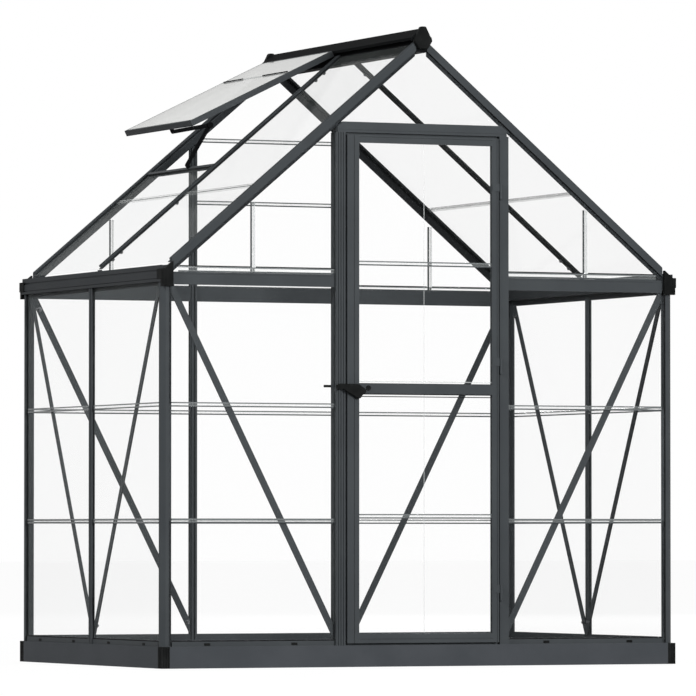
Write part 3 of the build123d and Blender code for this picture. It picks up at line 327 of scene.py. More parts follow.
@dataclass(frozen=True)
class MouldedPlastic:
    """Black moulded plastic: fine spark grain, grey bloom, paler edges of wear and painted highlight."""

    name: str
    colour: Colour = (0.0060, 0.0065, 0.0065)
    bloom: Colour = (0.0130, 0.0136, 0.0136)
    pale_edge: Colour = (0.060, 0.063, 0.065)
    roughness: float = 0.5
    gloss: float = 0.015
    cloud_scale: float = 18.0
    cloud_span: Pair = (0.35, 0.75)
    edge_radius: float = 0.0012
    edge_span: Pair = (0.01, 0.16)
    pale_edge_share: float = 0.5
    rough_cloud: float = 0.12
    rough_pale_edge: float = 0.06
    grain_scale: float = 2200.0
    grain_depth: float = 0.00005
    grain_strength: float = 0.35

    def make(self) -> bpy.types.Material:
        """Builds the material and returns it."""
        material, g = new_material(self.name)
        where = g.place()
        cloud = g.noise(where, self.cloud_scale, detail=4.0)
        cell = g.node("ShaderNodeTexVoronoi", {"feature": "F1"}, {"Vector": where, "Scale": self.grain_scale})
        grain = Value(g, cell.outputs["Distance"])
        skin = g.tint(g.ease(cloud, *self.cloud_span), self.colour, self.bloom)
        # Paler edges: part wear, part a painted highlight where the rounded moulding edges catch the light.
        pale_edge_mask = g.ease(g.edge(self.edge_radius), *self.edge_span)
        g.surface(
            {
                "Base Color": g.tint(pale_edge_mask * self.pale_edge_share, skin, self.pale_edge),
                "Roughness": self.roughness + self.rough_cloud * (cloud - 0.5) - self.rough_pale_edge * pale_edge_mask,
                "Normal": g.bump(grain, self.grain_depth, self.grain_strength),
                "Specular IOR Level": self.gloss,
            }
        )
        return material


@dataclass(frozen=True)
class ClearSheet:
    """Clear pane: nearly invisible face on, greyer and glossier towards grazing view, with faint dust."""

    name: str
    colour: Colour
    bright: Colour
    face_cover: float
    graze_cover: float
    dust_cover: float = 0.004
    graze_power: float = 3.0
    cloud_scale: float = 2.4
    cloud_span: Pair = (0.3, 0.7)
    speck_scale: float = 160.0
    speck_span: Pair = (0.55, 0.8)
    roughness: float = 0.06
    rough_specks: float = 0.10
    rough_cloud: float = 0.03
    wave_depth: float = 0.0006
    wave_strength: float = 0.25
    refraction: float = 1.5

    def make(self) -> bpy.types.Material:
        """Builds the material and returns it."""
        material, g = new_material(self.name)
        where = g.place()
        cloud = g.noise(where, self.cloud_scale, detail=3.0)
        specks = g.ease(g.noise(where, self.speck_scale, detail=4.0, rough=0.7), *self.speck_span)
        weight = g.node("ShaderNodeLayerWeight", {}, {"Blend": 0.5})
        graze = Value(g, weight.outputs["Facing"]) ** self.graze_power
        film = self.dust_cover * (0.5 * cloud + specks)
        cover = (self.face_cover + (self.graze_cover - self.face_cover) * graze + film).least(1.0)
        g.surface(
            {
                "Base Color": g.tint(g.ease(cloud, *self.cloud_span), self.colour, self.bright),
                "Roughness": self.roughness + self.rough_specks * specks + self.rough_cloud * cloud,
                "Alpha": cover,
                "Normal": g.bump(cloud, self.wave_depth, self.wave_strength),
                "IOR": self.refraction,
            }
        )
        return material


@dataclass(frozen=True)
class ClearStrip:
    """Clear joining strip with a bright web and dark rolled edges.

    The map's V runs across the strip from 0 to 1, and the edge at 0 is the darker one.
    """

    name: str
    body: Colour = (0.62, 0.66, 0.66)
    rim: Colour = (0.035, 0.042, 0.045)
    body_cover: float = 0.06
    rim_cover: float = 0.95
    pale_share: float = 0.85
    dark_span: Pair = (0.24, 0.30)
    pale_span: Pair = (0.72, 0.78)
    drift_scale: float = 9.0
    cover_least: float = 0.85
    cover_drift: float = 0.3
    roughness: float = 0.12
    rough_drift: float = 0.10
    wave_depth: float = 0.0004
    wave_strength: float = 0.2

    def make(self) -> bpy.types.Material:
        """Builds the material and returns it."""
        material, g = new_material(self.name)
        where = g.place()
        chart = g.node("ShaderNodeUVMap", {"uv_map": "chart"}, {})
        across = g.part(chart.outputs[0], 1)
        dark_rim = 1.0 - g.ease(across, *self.dark_span)
        rim = dark_rim + g.ease(across, *self.pale_span) * self.pale_share
        drift = g.noise(where, self.drift_scale, detail=3.0)
        strength = self.rim_cover * (self.cover_least + self.cover_drift * drift)
        g.surface(
            {
                "Base Color": g.tint(rim, self.body, self.rim),
                "Roughness": self.roughness + self.rough_drift * drift,
                "Alpha": (self.body_cover + rim * strength).least(1.0),
                "Normal": g.bump(drift, self.wave_depth, self.wave_strength),
            }
        )
        return material


@dataclass(frozen=True)
class PaleSeam:
    """Milky line where two clear sheets meet."""

    name: str
    colour: Colour = (0.52, 0.55, 0.55)
    bright: Colour = (0.70, 0.72, 0.72)
    cover: float = 0.5
    cover_drift: float = 0.3
    drift_scale: float = 30.0
    roughness: float = 0.2
    rough_drift: float = 0.2
    wave_depth: float = 0.0003
    wave_strength: float = 0.2

    def make(self) -> bpy.types.Material:
        """Builds the material and returns it."""
        material, g = new_material(self.name)
        drift = g.noise(g.place(), self.drift_scale, detail=3.0)
        g.surface(
            {
                "Base Color": g.tint(drift, self.colour, self.bright),
                "Roughness": self.roughness + self.rough_drift * drift,
                "Alpha": self.cover + self.cover_drift * (drift - 0.5),
                "Normal": g.bump(drift, self.wave_depth, self.wave_strength),
            }
        )
        return material


@dataclass(frozen=True)
class SoftRubber:
    """Black glazing rubber: matt, with a dusty bloom."""

    name: str
    colour: Colour = (0.009, 0.009, 0.010)
    bloom: Colour = (0.032, 0.033, 0.034)
    gloss: float = 0.05
    cloud_scale: float = 40.0
    cloud_span: Pair = (0.4, 0.8)
    roughness: float = 0.72
    rough_cloud: float = 0.12
    grain_scale: float = 1800.0
    grain_depth: float = 0.00005
    grain_strength: float = 0.4

    def make(self) -> bpy.types.Material:
        """Builds the material and returns it."""
        material, g = new_material(self.name)
        where = g.place()
        cloud = g.noise(where, self.cloud_scale, detail=5.0)
        grain = g.noise(where, self.grain_scale, detail=2.0)
        g.surface(
            {
                "Base Color": g.tint(g.ease(cloud, *self.cloud_span), self.colour, self.bloom),
                "Roughness": self.roughness + self.rough_cloud * (cloud - 0.5),
                "Normal": g.bump(grain, self.grain_depth, self.grain_strength),
                "Specular IOR Level": self.gloss,
            }
        )
        return material


@dataclass(frozen=True)
class PlatedSteel:
    """Zinc plated fixings: grey metal with patchy plating, duller and rougher in places."""

    name: str
    colour: Colour = (0.085, 0.088, 0.092)
    dull: Colour = (0.045, 0.047, 0.050)
    patch_scale: float = 350.0
    patch_span: Pair = (0.35, 0.7)
    roughness: float = 0.34
    rough_patch: float = 0.2
    metal: float = 0.9
    metal_patch: float = 0.2
    grain_depth: float = 0.00004
    grain_strength: float = 0.3

    def make(self) -> bpy.types.Material:
        """Builds the material and returns it."""
        material, g = new_material(self.name)
        patch = g.noise(g.place(), self.patch_scale, detail=4.0)
        g.surface(
            {
                "Base Color": g.tint(g.ease(patch, *self.patch_span), self.colour, self.dull),
                "Roughness": self.roughness + self.rough_patch * patch,
                "Metallic": self.metal - self.metal_patch * patch,
                "Normal": g.bump(patch, self.grain_depth, self.grain_strength),
            }
        )
        return material


@dataclass
class Shell:
    """Points, faces and surface map of one shape before it becomes a mesh."""

    points: np.ndarray
    quads: np.ndarray
    caps: list[np.ndarray]
    chart: np.ndarray

    def moved(self, count: int) -> "Shell":
        """The same shape with its point numbers raised by a count."""
        return Shell(self.points, self.quads + count, [cap + count for cap in self.caps], self.chart)

    def turned_over(self) -> "Shell":
        """The same shape with every face looking the other way."""
        return Shell(self.points, self.quads[:, ::-1], [cap[::-1] for cap in self.caps], self.chart)


def grid_faces(rows: int, columns: int) -> np.ndarray:
    """Quads of a grid whose columns close on themselves.

    Quad (i, j) joins points (i, j), (i, j + 1), (i + 1, j + 1) and (i + 1, j), with j + 1 wrapped round.

    Args:
        rows: number of rings.
        columns: points on each ring.

    Returns:
        Four point numbers for each quad.
    """
    row, column = np.meshgrid(np.arange(rows - 1), np.arange(columns), indexing="ij")
    after = (column + 1) % columns
    near, far = row * columns, (row + 1) * columns
    return np.stack((near + column, near + after, far + after, far + column), axis=-1).reshape(-1, 4)


def carried(
    profile: np.ndarray, path: np.ndarray, across: Point, out: Point, drawn_in: np.ndarray | None = None
) -> Shell:
    """Carries a closed profile along a path and closes both ends.

    Point (i, j) is the path's point i plus the profile's first coordinate j times the across direction plus
    its second coordinate times the out direction, with the profile drawn in at i square to its outline. The
    chart holds the way along the path in metres, and the first coordinate brought to 0 to 1.

    Args:
        profile: two numbers for each profile point, in order round the outline.
        path: three numbers for each path point.
        across: direction of the profile's first coordinate.
        out: direction of the profile's second coordinate.
        drawn_in: how far the profile is drawn in at each path point; nowhere if left out.

    Returns:
        The closed shape with its faces outwards.
    """
    side = np.asarray(across, float)
    lift = np.asarray(out, float)
    rows, columns = len(path), len(profile)
    inset = np.zeros(rows) if drawn_in is None else drawn_in
    tangent = np.roll(profile, -1, axis=0) - np.roll(profile, 1, axis=0)
    tangent /= np.linalg.norm(tangent, axis=1)[:, None]
    inner = np.stack([-tangent[:, 1], tangent[:, 0]], axis=1)
    rings = profile[None] + inset[:, None, None] * inner[None]
    points = path[:, None, :] + rings[:, :, :1] * side + rings[:, :, 1:] * lift
    steps = np.linalg.norm(np.diff(path, axis=0), axis=1)
    along = np.concatenate([[0.0], np.cumsum(steps)])
    low, high = profile[:, 0].min(), profile[:, 0].max()
    share = (profile[:, 0] - low) / (high - low)
    chart = np.stack(np.meshgrid(along, share, indexing="ij"), axis=-1).reshape(-1, 2)
    caps = [np.arange(columns)[::-1], np.arange(columns) + (rows - 1) * columns]
    shell = Shell(points.reshape(-1, 3), grid_faces(rows, columns), caps, chart)
    x, y = profile[:, 0], profile[:, 1]
    area = np.sum(x * np.roll(y, -1) - np.roll(x, -1) * y)
    turn = np.dot(np.cross(side, lift), path[-1] - path[0])
    return shell if area * turn > 0 else shell.turned_over()


def turned(profile: np.ndarray, centre: Point, axis: Point, sides: int, flats: np.ndarray) -> Shell:
    """Spins a profile about an axis, with some rings pressed to a hexagon.

    Ring i has radius r(i) times h, where h is 1 on a round ring and cos(30 deg) / cos(angle to the nearest
    flat's middle) on a hexagon one, and sits at height z(i) along the axis.

    Args:
        profile: radius and height of each ring, from the foot to the top.
        centre: foot of the axis.
        axis: unit direction of the axis.
        sides: points on each ring.
        flats: share of the hexagon in each ring, from 0 to 1.

    Returns:
        The closed shape with its faces outwards.
    """
    way = np.asarray(axis, float)
    helper = np.array([1.0, 0.0, 0.0]) if abs(way[0]) < 0.9 else np.array([0.0, 1.0, 0.0])
    first = np.cross(way, helper)
    first /= np.linalg.norm(first)
    second = np.cross(way, first)
    angle = np.linspace(0.0, 2.0 * math.pi, sides, endpoint=False)
    near = np.mod(angle, math.pi / 3.0) - math.pi / 6.0
    hexagon = math.cos(math.pi / 6.0) / np.cos(near)
    reach = profile[:, :1] * (1.0 + flats[:, None] * (hexagon[None, :] - 1.0))
    spoke = np.cos(angle)[:, None] * first + np.sin(angle)[:, None] * second
    points = np.asarray(centre) + reach[:, :, None] * spoke[None] + profile[:, 1][:, None, None] * way
    share = np.linspace(0.0, 1.0, sides)
    chart = np.stack(np.meshgrid(profile[:, 1], share, indexing="ij"), axis=-1).reshape(-1, 2)
    rows = len(profile)
    caps = [np.arange(sides)[::-1], np.arange(sides) + (rows - 1) * sides]
    return Shell(points.reshape(-1, 3), grid_faces(rows, sides), caps, chart)


def joined(shells: list[Shell]) -> Shell:
    """Puts several shapes into one, each keeping its own points."""
    counts = np.cumsum([0] + [len(shell.points) for shell in shells])
    raised = [shell.moved(int(count)) for shell, count in zip(shells, counts)]
    return Shell(
        np.concatenate([shell.points for shell in raised]),
        np.concatenate([shell.quads for shell in raised]),
        [cap for shell in raised for cap in shell.caps],
        np.concatenate([shell.chart for shell in raised]),
    )


def straight(start: Point, end: Point, parts: int = 1) -> np.ndarray:
    """Path of evenly spaced points from start to end."""
    share = np.linspace(0.0, 1.0, parts + 1)[:, None]
    return np.asarray(start) * (1.0 - share) + np.asarray(end) * share


def half_round(tip: float, low: float, high: float) -> np.ndarray:
    """Rounded end of an outline: a half circle that runs from low to high and bulges out to tip."""
    roll = np.linspace(-math.pi / 2.0, math.pi / 2.0, 7)
    radius, middle = (high - low) / 2.0, (high + low) / 2.0
    return np.stack([tip - radius + radius * np.cos(roll), middle + radius * np.sin(roll)], axis=1)


def bead(half: float, proud: float) -> np.ndarray:
    """Outline of a low dome: a flat foot, half wide each way, and an elliptical back that stands proud."""
    roll = np.linspace(0.0, math.pi, 9)
    return np.stack([half * np.cos(roll), proud * np.sin(roll)], axis=1)


def rounded_bar(half_width: float, half_height: float) -> np.ndarray:
    """Outline of a bar with rounded corners: signed fourth roots of cosine and sine, times the half sizes."""
    roll = np.linspace(0.0, 2.0 * math.pi, 24, endpoint=False)
    ring = np.stack([np.cos(roll), np.sin(roll)], axis=1)
    return np.sign(ring) * np.abs(ring) ** 0.25 * np.array([half_width, half_height])


def piece(name: str, shell: Shell, material: bpy.types.Material, body: Body) -> bpy.types.Object:
    """Makes a mesh object from a shape, dresses it and lets it ride on a body.

    Args:
        name: name of the piece.
        shell: its points and faces.
        material: its finish.
        body: the body it moves with.

    Returns:
        The new object.
    """
    mesh = bpy.data.meshes.new(name)
    faces = shell.quads.tolist() + [cap.tolist() for cap in shell.caps]
    mesh.from_pydata(shell.points.tolist(), [], faces)
    corner = np.empty(len(mesh.loops), dtype=np.int32)
    mesh.loops.foreach_get("vertex_index", corner)
    chart = mesh.uv_layers.new(name="chart")
    chart.data.foreach_set("uv", shell.chart[corner].astype(np.float32).ravel())
    mesh.materials.append(material)
    mesh.update()
    made = bpy.data.objects.new(name, mesh)
    bpy.context.scene.collection.objects.link(made)
    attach(made, body.value)
    LOG.info("piece %s: %d points, %d faces, on %s", name, len(shell.points), len(faces), body.value)
    return made


@dataclass(frozen=True)
class Layout:
    """Main places of the greenhouse that the added pieces are set out from.

    The bay runs from bay_inner to bay_outer along X beside the door and the back middle, which is middle_half
    wide each way. The side panes run from side_inner to side_outer along Y. A pane's middle lies pane_middle
    behind the outer face, the rafters end at eave_cut, and seat is the gap to what carries a piece.
    """

    side_face: float = 0.921
    end_face: float = 0.618
    base_top: float = 0.070
    eave_low: float = 1.236
    eave_high: float = 1.277
    back_eave_high: float = 1.2815
    gutter_low: float = 1.245
    roof_top: float = 2.06447
    pitch: float = math.radians(40.0)
    back_post: float = 0.297
    bay_inner: float = 0.311
    bay_outer: float = 0.884
    middle_half: float = 0.283
    side_inner: float = 0.014
    side_outer: float = 0.581
    door_left: float = -0.2307
    door_right: float = 0.2477
    seat: float = 0.0003
    pane_middle: float = 0.0075
    eave_cut: float = 0.8847

    def roof_z(self, x: float, below: float) -> float:
        """Height at x of the plane that lies a given depth below the roof plane, square to it."""
        return self.roof_top - math.tan(self.pitch) * abs(x) - below / math.cos(self.pitch)

    def roof_point(self, x: float, below: float) -> Pair:
        """X and height of a point on the right slope, a given depth square to the roof plane."""
        return (
            x - below * math.sin(self.pitch),
            self.roof_top - math.tan(self.pitch) * x - below * math.cos(self.pitch),
        )

    def down(self) -> Point:
        """Direction down the right slope."""
        return (math.cos(self.pitch), 0.0, -math.sin(self.pitch))

    def inward(self) -> Point:
        """Direction square to the right slope, into the house."""
        return (-math.sin(self.pitch), 0.0, -math.cos(self.pitch))


@dataclass
class JoinerStrips:
    """Clear H strips between the panes, with rolled edges."""

    plan: Layout
    finish: bpy.types.Material
    gable_finish: bpy.types.Material
    roof_finish: bpy.types.Material
    half: float = 0.0075
    inner: float = 0.0018
    outer: float = 0.0033
    web: float = 0.001
    low_level: float = 0.47507
    high_level: float = 0.84970
    gable_x: float = 0.59996
    back_low: float = 1.57179
    back_high: float = 1.78701
    back_high_half: float = 0.2636
    gable_depth: float = 0.0373
    roof_x: float = 0.59015
    door_y: float = -0.625
    door_levels: Pair = (0.49014, 1.31576)

    def profile(self) -> np.ndarray:
        """Quarter outline of the H mirrored about both middles; its tips are half rounds."""
        upper = np.concatenate([[[self.web, self.inner]], half_round(self.half, self.inner, self.outer)])
        left = upper[::-1] * np.array([-1.0, 1.0])
        top = np.concatenate([upper, left])
        return np.concatenate([top, top * np.array([-1.0, -1.0])])

    def along_x(self, x0: float, x1: float, y: float, z: float) -> Shell:
        """Level strip in an end wall."""
        return carried(self.profile(), straight((x0, y, z), (x1, y, z), 8), (0, 0, 1), (0, 1, 0))

    def along_y(self, x: float, y0: float, y1: float, z: float) -> Shell:
        """Level strip in a side wall."""
        return carried(self.profile(), straight((x, y0, z), (x, y1, z), 8), (0, 0, 1), (1, 0, 0))

    def upright(self, x: float, y: float, z0: float, z1: float) -> Shell:
        """Upright strip in a gable."""
        return carried(self.profile(), straight((x, y, z0), (x, y, z1), 6), (1, 0, 0), (0, 1, 0))

    def sloped(self, side: float, y0: float, y1: float) -> Shell:
        """Level strip in a roof slope; side is 1 on the right and -1 on the left."""
        x, z = self.plan.roof_point(self.roof_x, self.plan.pane_middle)
        down = self.plan.down()
        inward = self.plan.inward()
        path = straight((side * x, y0, z), (side * x, y1, z), 8)
        return carried(self.profile(), path, (side * down[0], 0, down[2]), (side * inward[0], 0, inward[2]))

    def build(self) -> None:
        """Makes the strips of each part of the house and of the door in place of the plain ones."""
        plan = self.plan
        y, x = plan.end_face - plan.pane_middle, plan.side_face - plan.pane_middle
        inner, outer = plan.bay_inner + plan.seat, plan.bay_outer - plan.seat
        near, far = plan.side_inner + plan.seat, plan.side_outer - plan.seat
        middle = plan.middle_half - plan.seat
        ends, sides, gables, roof = [], [], [], []
        for z in (self.low_level, self.high_level):
            for sign in (-1.0, 1.0):
                ends.append(self.along_x(sign * inner, sign * outer, -y, z))
                ends.append(self.along_x(sign * inner, sign * outer, y, z))
                for way in (-1.0, 1.0):
                    sides.append(self.along_y(sign * x, way * near, way * far, z))
            ends.append(self.along_x(-middle, middle, y, z))
        top = plan.roof_z(self.gable_x + self.half, self.gable_depth)
        for sign in (-1.0, 1.0):
            for way, foot in ((-1.0, plan.eave_high), (1.0, plan.back_eave_high)):
                gables.append(self.upright(sign * self.gable_x, way * y, foot + plan.seat, top))
                roof.append(self.sloped(sign, way * near, way * far))
        back = [
            self.along_x(-middle, middle, y, self.back_low),
            self.along_x(-self.back_high_half, self.back_high_half, y, self.back_high),
        ]
        door = [self.along_x(plan.door_left, plan.door_right, self.door_y, z) for z in self.door_levels]
        for name, shells, finish, body, node in (
            ("joiner_strips_end_walls", ends, self.finish, Body.HOUSE, "strips_end_walls"),
            ("joiner_strips_side_walls", sides, self.finish, Body.HOUSE, "strips_side_walls"),
            ("joiner_strips_gables", gables, self.gable_finish, Body.HOUSE, "strips_gables"),
            ("joiner_strips_back_gable", back, self.finish, Body.HOUSE, "strips_gables"),
            ("joiner_strips_roof", roof, self.roof_finish, Body.HOUSE, "strips_roof"),
            ("joiner_strips_door", door, self.finish, Body.DOOR, "door_strips"),
        ):
            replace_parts(piece(name, joined(shells), finish, body), node)


@dataclass
class GlazingSeals:
    """Black rubber seals between the bars' noses and the panes."""

    plan: Layout
    finish: bpy.types.Material
    nose: float = 0.00455
    pane: float = 0.00595
    edge_root: float = 0.0205
    edge_lip: float = 0.0265
    bar_root: float = 0.0095
    bar_lip: float = 0.0155
    ridge_clear: float = 0.045
    eave_clear: float = 0.022
    end_gap: float = 0.001
    gutter_gap: float = 0.0005

    def profile(self, edge: bool) -> np.ndarray:
        """Bar that is nose to pane deep, with a half round outer end; edge is True beside an edge bar."""
        root, lip = (self.edge_root, self.edge_lip) if edge else (self.bar_root, self.bar_lip)
        end = half_round(lip, self.nose, self.pane)
        return np.concatenate([[[root, self.nose]], end, [[root, self.pane]]])

    def post(
        self, x: float, y: float, across: Point, inward: Point, z0: float, z1: float, edge: bool
    ) -> Shell:
        """Seal on one side of an upright bar.

        Args:
            x: place of the bar's outer face.
            y: place of the bar's outer face.
            across: direction from the bar over the pane.
            inward: direction from the outer face into the house.
            z0: foot.
            z1: top.
            edge: True beside an edge bar, False beside a glazing bar.

        Returns:
            The seal's shape.
        """
        return carried(self.profile(edge), straight((x, y, z0), (x, y, z1), 10), across, inward)

    def slope(self, side: float, y: float, across: Point, inward: Point, edge: bool) -> Shell:
        """Seal along a rafter; side is 1 on the right slope and -1 on the left."""
        high, low = self.ridge_clear, self.plan.eave_cut - self.eave_clear
        start = (side * high, y, self.plan.roof_z(high, 0.0))
        end = (side * low, y, self.plan.roof_z(low, 0.0))
        return carried(self.profile(edge), straight(start, end, 10), across, inward)

    def build(self) -> None:
        """Makes the seals of the walls and of the roof."""
        walls, roof = [], []
        bar = self.plan.back_post
        side, end, foot = self.plan.side_face, self.plan.end_face, self.plan.base_top + self.end_gap
        wall_top, side_top = self.plan.eave_low - self.end_gap, self.plan.gutter_low - self.gutter_gap
        for sx in (-1.0, 1.0):
            for sy in (-1.0, 1.0):
                walls.append(self.post(sx * side, sy * end, (-sx, 0, 0), (0, -sy, 0), foot, wall_top, True))
                walls.append(self.post(sx * side, sy * end, (0, -sy, 0), (-sx, 0, 0), foot, side_top, True))
                walls.append(self.post(sx * side, 0.0, (0, sy, 0), (-sx, 0, 0), foot, side_top, False))
                walls.append(self.post(sx * bar, end, (sy, 0, 0), (0, -1, 0), foot, wall_top, False))
            inward = self.plan.inward()
            into = (sx * inward[0], 0.0, inward[2])
            for sy in (-1.0, 1.0):
                roof.append(self.slope(sx, sy * end, (0, -sy, 0), into, True))
                roof.append(self.slope(sx, sy * end, into, (0, -sy, 0), True))
                roof.append(self.slope(sx, 0.0, (0, sy, 0), into, False))
        piece("glazing_seals_walls", joined(walls), self.finish, Body.HOUSE)
        piece("glazing_seals_roof", joined(roof), self.finish, Body.HOUSE)


@dataclass
class PaneTrim:
    """Thin trim on the panes: foot strips, seals, the door's seam and rail lines, the vent's cross joint."""

    plan: Layout
    strip: bpy.types.Material
    seam: bpy.types.Material
    rubber: bpy.types.Material
    end_gap: float = 0.0005
    foot_high: float = 1.2950
    foot_outer: float = 0.862
    foot_front: float = 0.0036
    foot_back: float = 0.0059
    line_half: float = 0.0017
    line_break: Pair = (0.590, 0.610)
    line_short: float = 0.004
    pane_depth: float = 0.006
    sill_line: float = 0.0880
    sill_line_half: float = 0.0018
    sill_line_proud: float = 0.0016
    seam_x: float = 0.004
    seam_half: float = 0.0011
    seam_proud: float = 0.0007
    seam_spans: tuple[Pair, ...] = ((0.1085, 0.4815), (0.4985, 0.8890), (0.9235, 1.3070), (1.3245, 1.7080))
    door_pane_front: float = -0.6265
    rail_lines: tuple[float, ...] = (0.9227, 0.8883, 0.8806)
    rail_pale_line: float = 0.9300
    rail_line_half: float = 0.0015
    rail_line_proud: float = 0.0012
    vent_head: Pair = (-0.04184, 2.06029)
    vent_tilt: float = math.radians(25.8)
    vent_joint: float = 0.172
    vent_y0: float = 0.0345
    vent_y1: float = 0.5735
    vent_joint_half: float = 0.006
    vent_joint_proud: float = 0.0016
    clip_half: float = 0.0045
    clip_proud: float = 0.004
    near_clip: float = 0.20
    far_clip: float = 0.16

    def foot_strip(self, x0: float, x1: float, y: float, low: float) -> Shell:
        """Clear strip over the foot of one gable pane, from just over the rail up to the foot line.

        Args:
            x0: one end.
            x1: the other end.
            y: middle of its thickness.
            low: top of the rail under it.

        Returns:
            The strip's shape.
        """
        foot = low + self.plan.seat
        middle, half = (foot + self.foot_high) / 2.0, (self.foot_high - foot) / 2.0
        profile = rounded_bar(half, (self.foot_back - self.foot_front) / 2.0)
        return carried(profile, straight((x0, y, middle), (x1, y, middle), 8), (0, 0, 1), (0, 1, 0))

    def foot_strips(self) -> Shell:
        """Clear strips over the feet of the gable panes."""
        y = self.plan.end_face - (self.foot_front + self.foot_back) / 2.0
        front, back = self.plan.eave_high, self.plan.back_eave_high
        middle = self.plan.middle_half - self.end_gap
        strips = [self.foot_strip(-middle, middle, y, back)]
        for sx in (-1.0, 1.0):
            outer = sx * self.foot_outer
            strips.append(self.foot_strip(sx * (self.plan.bay_inner + self.plan.seat), outer, -y, front))
            strips.append(self.foot_strip(sx * (self.plan.bay_inner + self.end_gap), outer, y, back))
        return joined(strips)

    def foot_lines(self) -> Shell:
        """Dark seal along the top of each foot strip: a low dome on the pane, parted at the gable joint."""
        profile = bead(self.line_half, self.foot_back - self.foot_front)
        z = self.foot_high + self.line_half
        lines = []
        for sx in (-1.0, 1.0):
            for sy, gap in ((-1.0, self.plan.seat), (1.0, self.end_gap)):
                y = sy * (self.plan.end_face - self.foot_back)
                inner, outer = self.plan.bay_inner + gap, self.foot_outer - self.line_short
                for x0, x1 in ((inner, self.line_break[0]), (self.line_break[1], outer)):
                    path = straight((sx * x0, y, z), (sx * x1, y, z), 6)
                    lines.append(carried(profile, path, (0, 0, 1), (0, sy, 0)))
        return joined(lines)

    def sill_lines(self) -> Shell:
        """Dark seal along the foot of each wall pane, a low dome just over the sill's lip."""
        plan, z = self.plan, self.sill_line
        profile = bead(self.sill_line_half, self.sill_line_proud)
        y, x = plan.end_face - self.pane_depth, plan.side_face - self.pane_depth
        inner, outer = plan.bay_inner + self.end_gap, plan.bay_outer - self.end_gap
        near, far = plan.side_inner + self.end_gap, plan.side_outer - self.end_gap
        middle = plan.middle_half - self.end_gap
        lines = [carried(profile, straight((-middle, y, z), (middle, y, z), 6), (0, 0, 1), (0, 1, 0))]
        for sx in (-1.0, 1.0):
            for sy in (-1.0, 1.0):
                end = straight((sx * inner, sy * y, z), (sx * outer, sy * y, z), 6)
                lines.append(carried(profile, end, (0, 0, 1), (0, sy, 0)))
                side = straight((sx * x, sy * near, z), (sx * x, sy * far, z), 6)
                lines.append(carried(profile, side, (0, 0, 1), (sx, 0, 0)))
        return joined(lines)

    def door_seam(self) -> Shell:
        """Fine upright bead down the middle of each door pane."""
        profile = bead(self.seam_half, self.seam_proud)
        x, y = self.seam_x, self.door_pane_front
        paths = [straight((x, y, low), (x, y, high), 6) for low, high in self.seam_spans]
        return joined([carried(profile, path, (1, 0, 0), (0, -1, 0)) for path in paths])

    def door_line(self, z: float) -> Shell:
        """Level bead across the door pane beside the middle rail."""
        y = self.door_pane_front
        path = straight((self.plan.door_left, y, z), (self.plan.door_right, y, z), 6)
        return carried(bead(self.rail_line_half, self.rail_line_proud), path, (0, 0, 1), (0, -1, 0))

    def vent_line(self, y0: float, y1: float, half: float, proud: float) -> Shell:
        """Bead across the vent pane at its joint.

        Args:
            y0: near end.
            y1: far end.
            half: half of its width.
            proud: height over the pane.

        Returns:
            The bead's shape.
        """
        cosine, sine = math.cos(self.vent_tilt), math.sin(self.vent_tilt)
        x = self.vent_head[0] - self.vent_joint * cosine
        z = self.vent_head[1] - self.vent_joint * sine
        path = straight((x, y0, z), (x, y1, z), 8)
        return carried(bead(half, proud), path, (-cosine, 0, -sine), (-sine, 0, cosine))

    def build(self) -> None:
        """Makes the trim pieces."""
        piece("gable_foot_strips", self.foot_strips(), self.strip, Body.HOUSE)
        piece("gable_foot_lines", self.foot_lines(), self.rubber, Body.HOUSE)
        piece("pane_foot_seals", self.sill_lines(), self.rubber, Body.HOUSE)
        piece("door_pane_seam", self.door_seam(), self.seam, Body.DOOR)
        lines = joined([self.door_line(z) for z in self.rail_lines])
        piece("door_rail_lines", lines, self.rubber, Body.DOOR)
        piece("door_rail_pale_line", self.door_line(self.rail_pale_line), self.seam, Body.DOOR)
        joint = self.vent_line(self.vent_y0, self.vent_y1, self.vent_joint_half, self.vent_joint_proud)
        piece("vent_joint_bead", joint, self.seam, Body.HOUSE)
        near = self.vent_line(self.vent_y0, self.vent_y0 + self.near_clip, self.clip_half, self.clip_proud)
        far = self.vent_line(self.vent_y1 - self.far_clip, self.vent_y1, self.clip_half, self.clip_proud)
        piece("vent_joint_clips", joined([near, far]), self.rubber, Body.HOUSE)


@dataclass
class CornerInserts:
    """Moulded blocks that close the hollow base corners and the slit beside each side plate."""

    finish: bpy.types.Material
    half_width: float = 0.925
    half_depth: float = 0.630
    foot: float = 0.0006
    top: float = 0.0697
    skin: float = 0.0003
    wall: float = 0.0073
    leg: float = 0.0283
    end: float = 0.0277
    far: float = 0.0340

    def profile(self) -> np.ndarray:
        """Plan of one insert, from the base's outer corner: a block in the hollow, a tongue in the slit."""
        return np.array(
            [
                (self.wall, self.wall),
                (self.end, self.wall),
                (self.end, self.far),
                (self.skin, self.far),
                (self.skin, self.leg),
                (self.wall, self.leg),
            ]
        )

    def build(self) -> None:
        """Makes the four inserts."""
        inserts = []
        for sx in (-1.0, 1.0):
            for sy in (-1.0, 1.0):
                x, y = sx * self.half_width, sy * self.half_depth
                path = straight((x, y, self.foot), (x, y, self.top), 3)
                inserts.append(carried(self.profile(), path, (-sx, 0, 0), (0, -sy, 0)))
        piece("base_corner_inserts", joined(inserts), self.finish, Body.HOUSE)


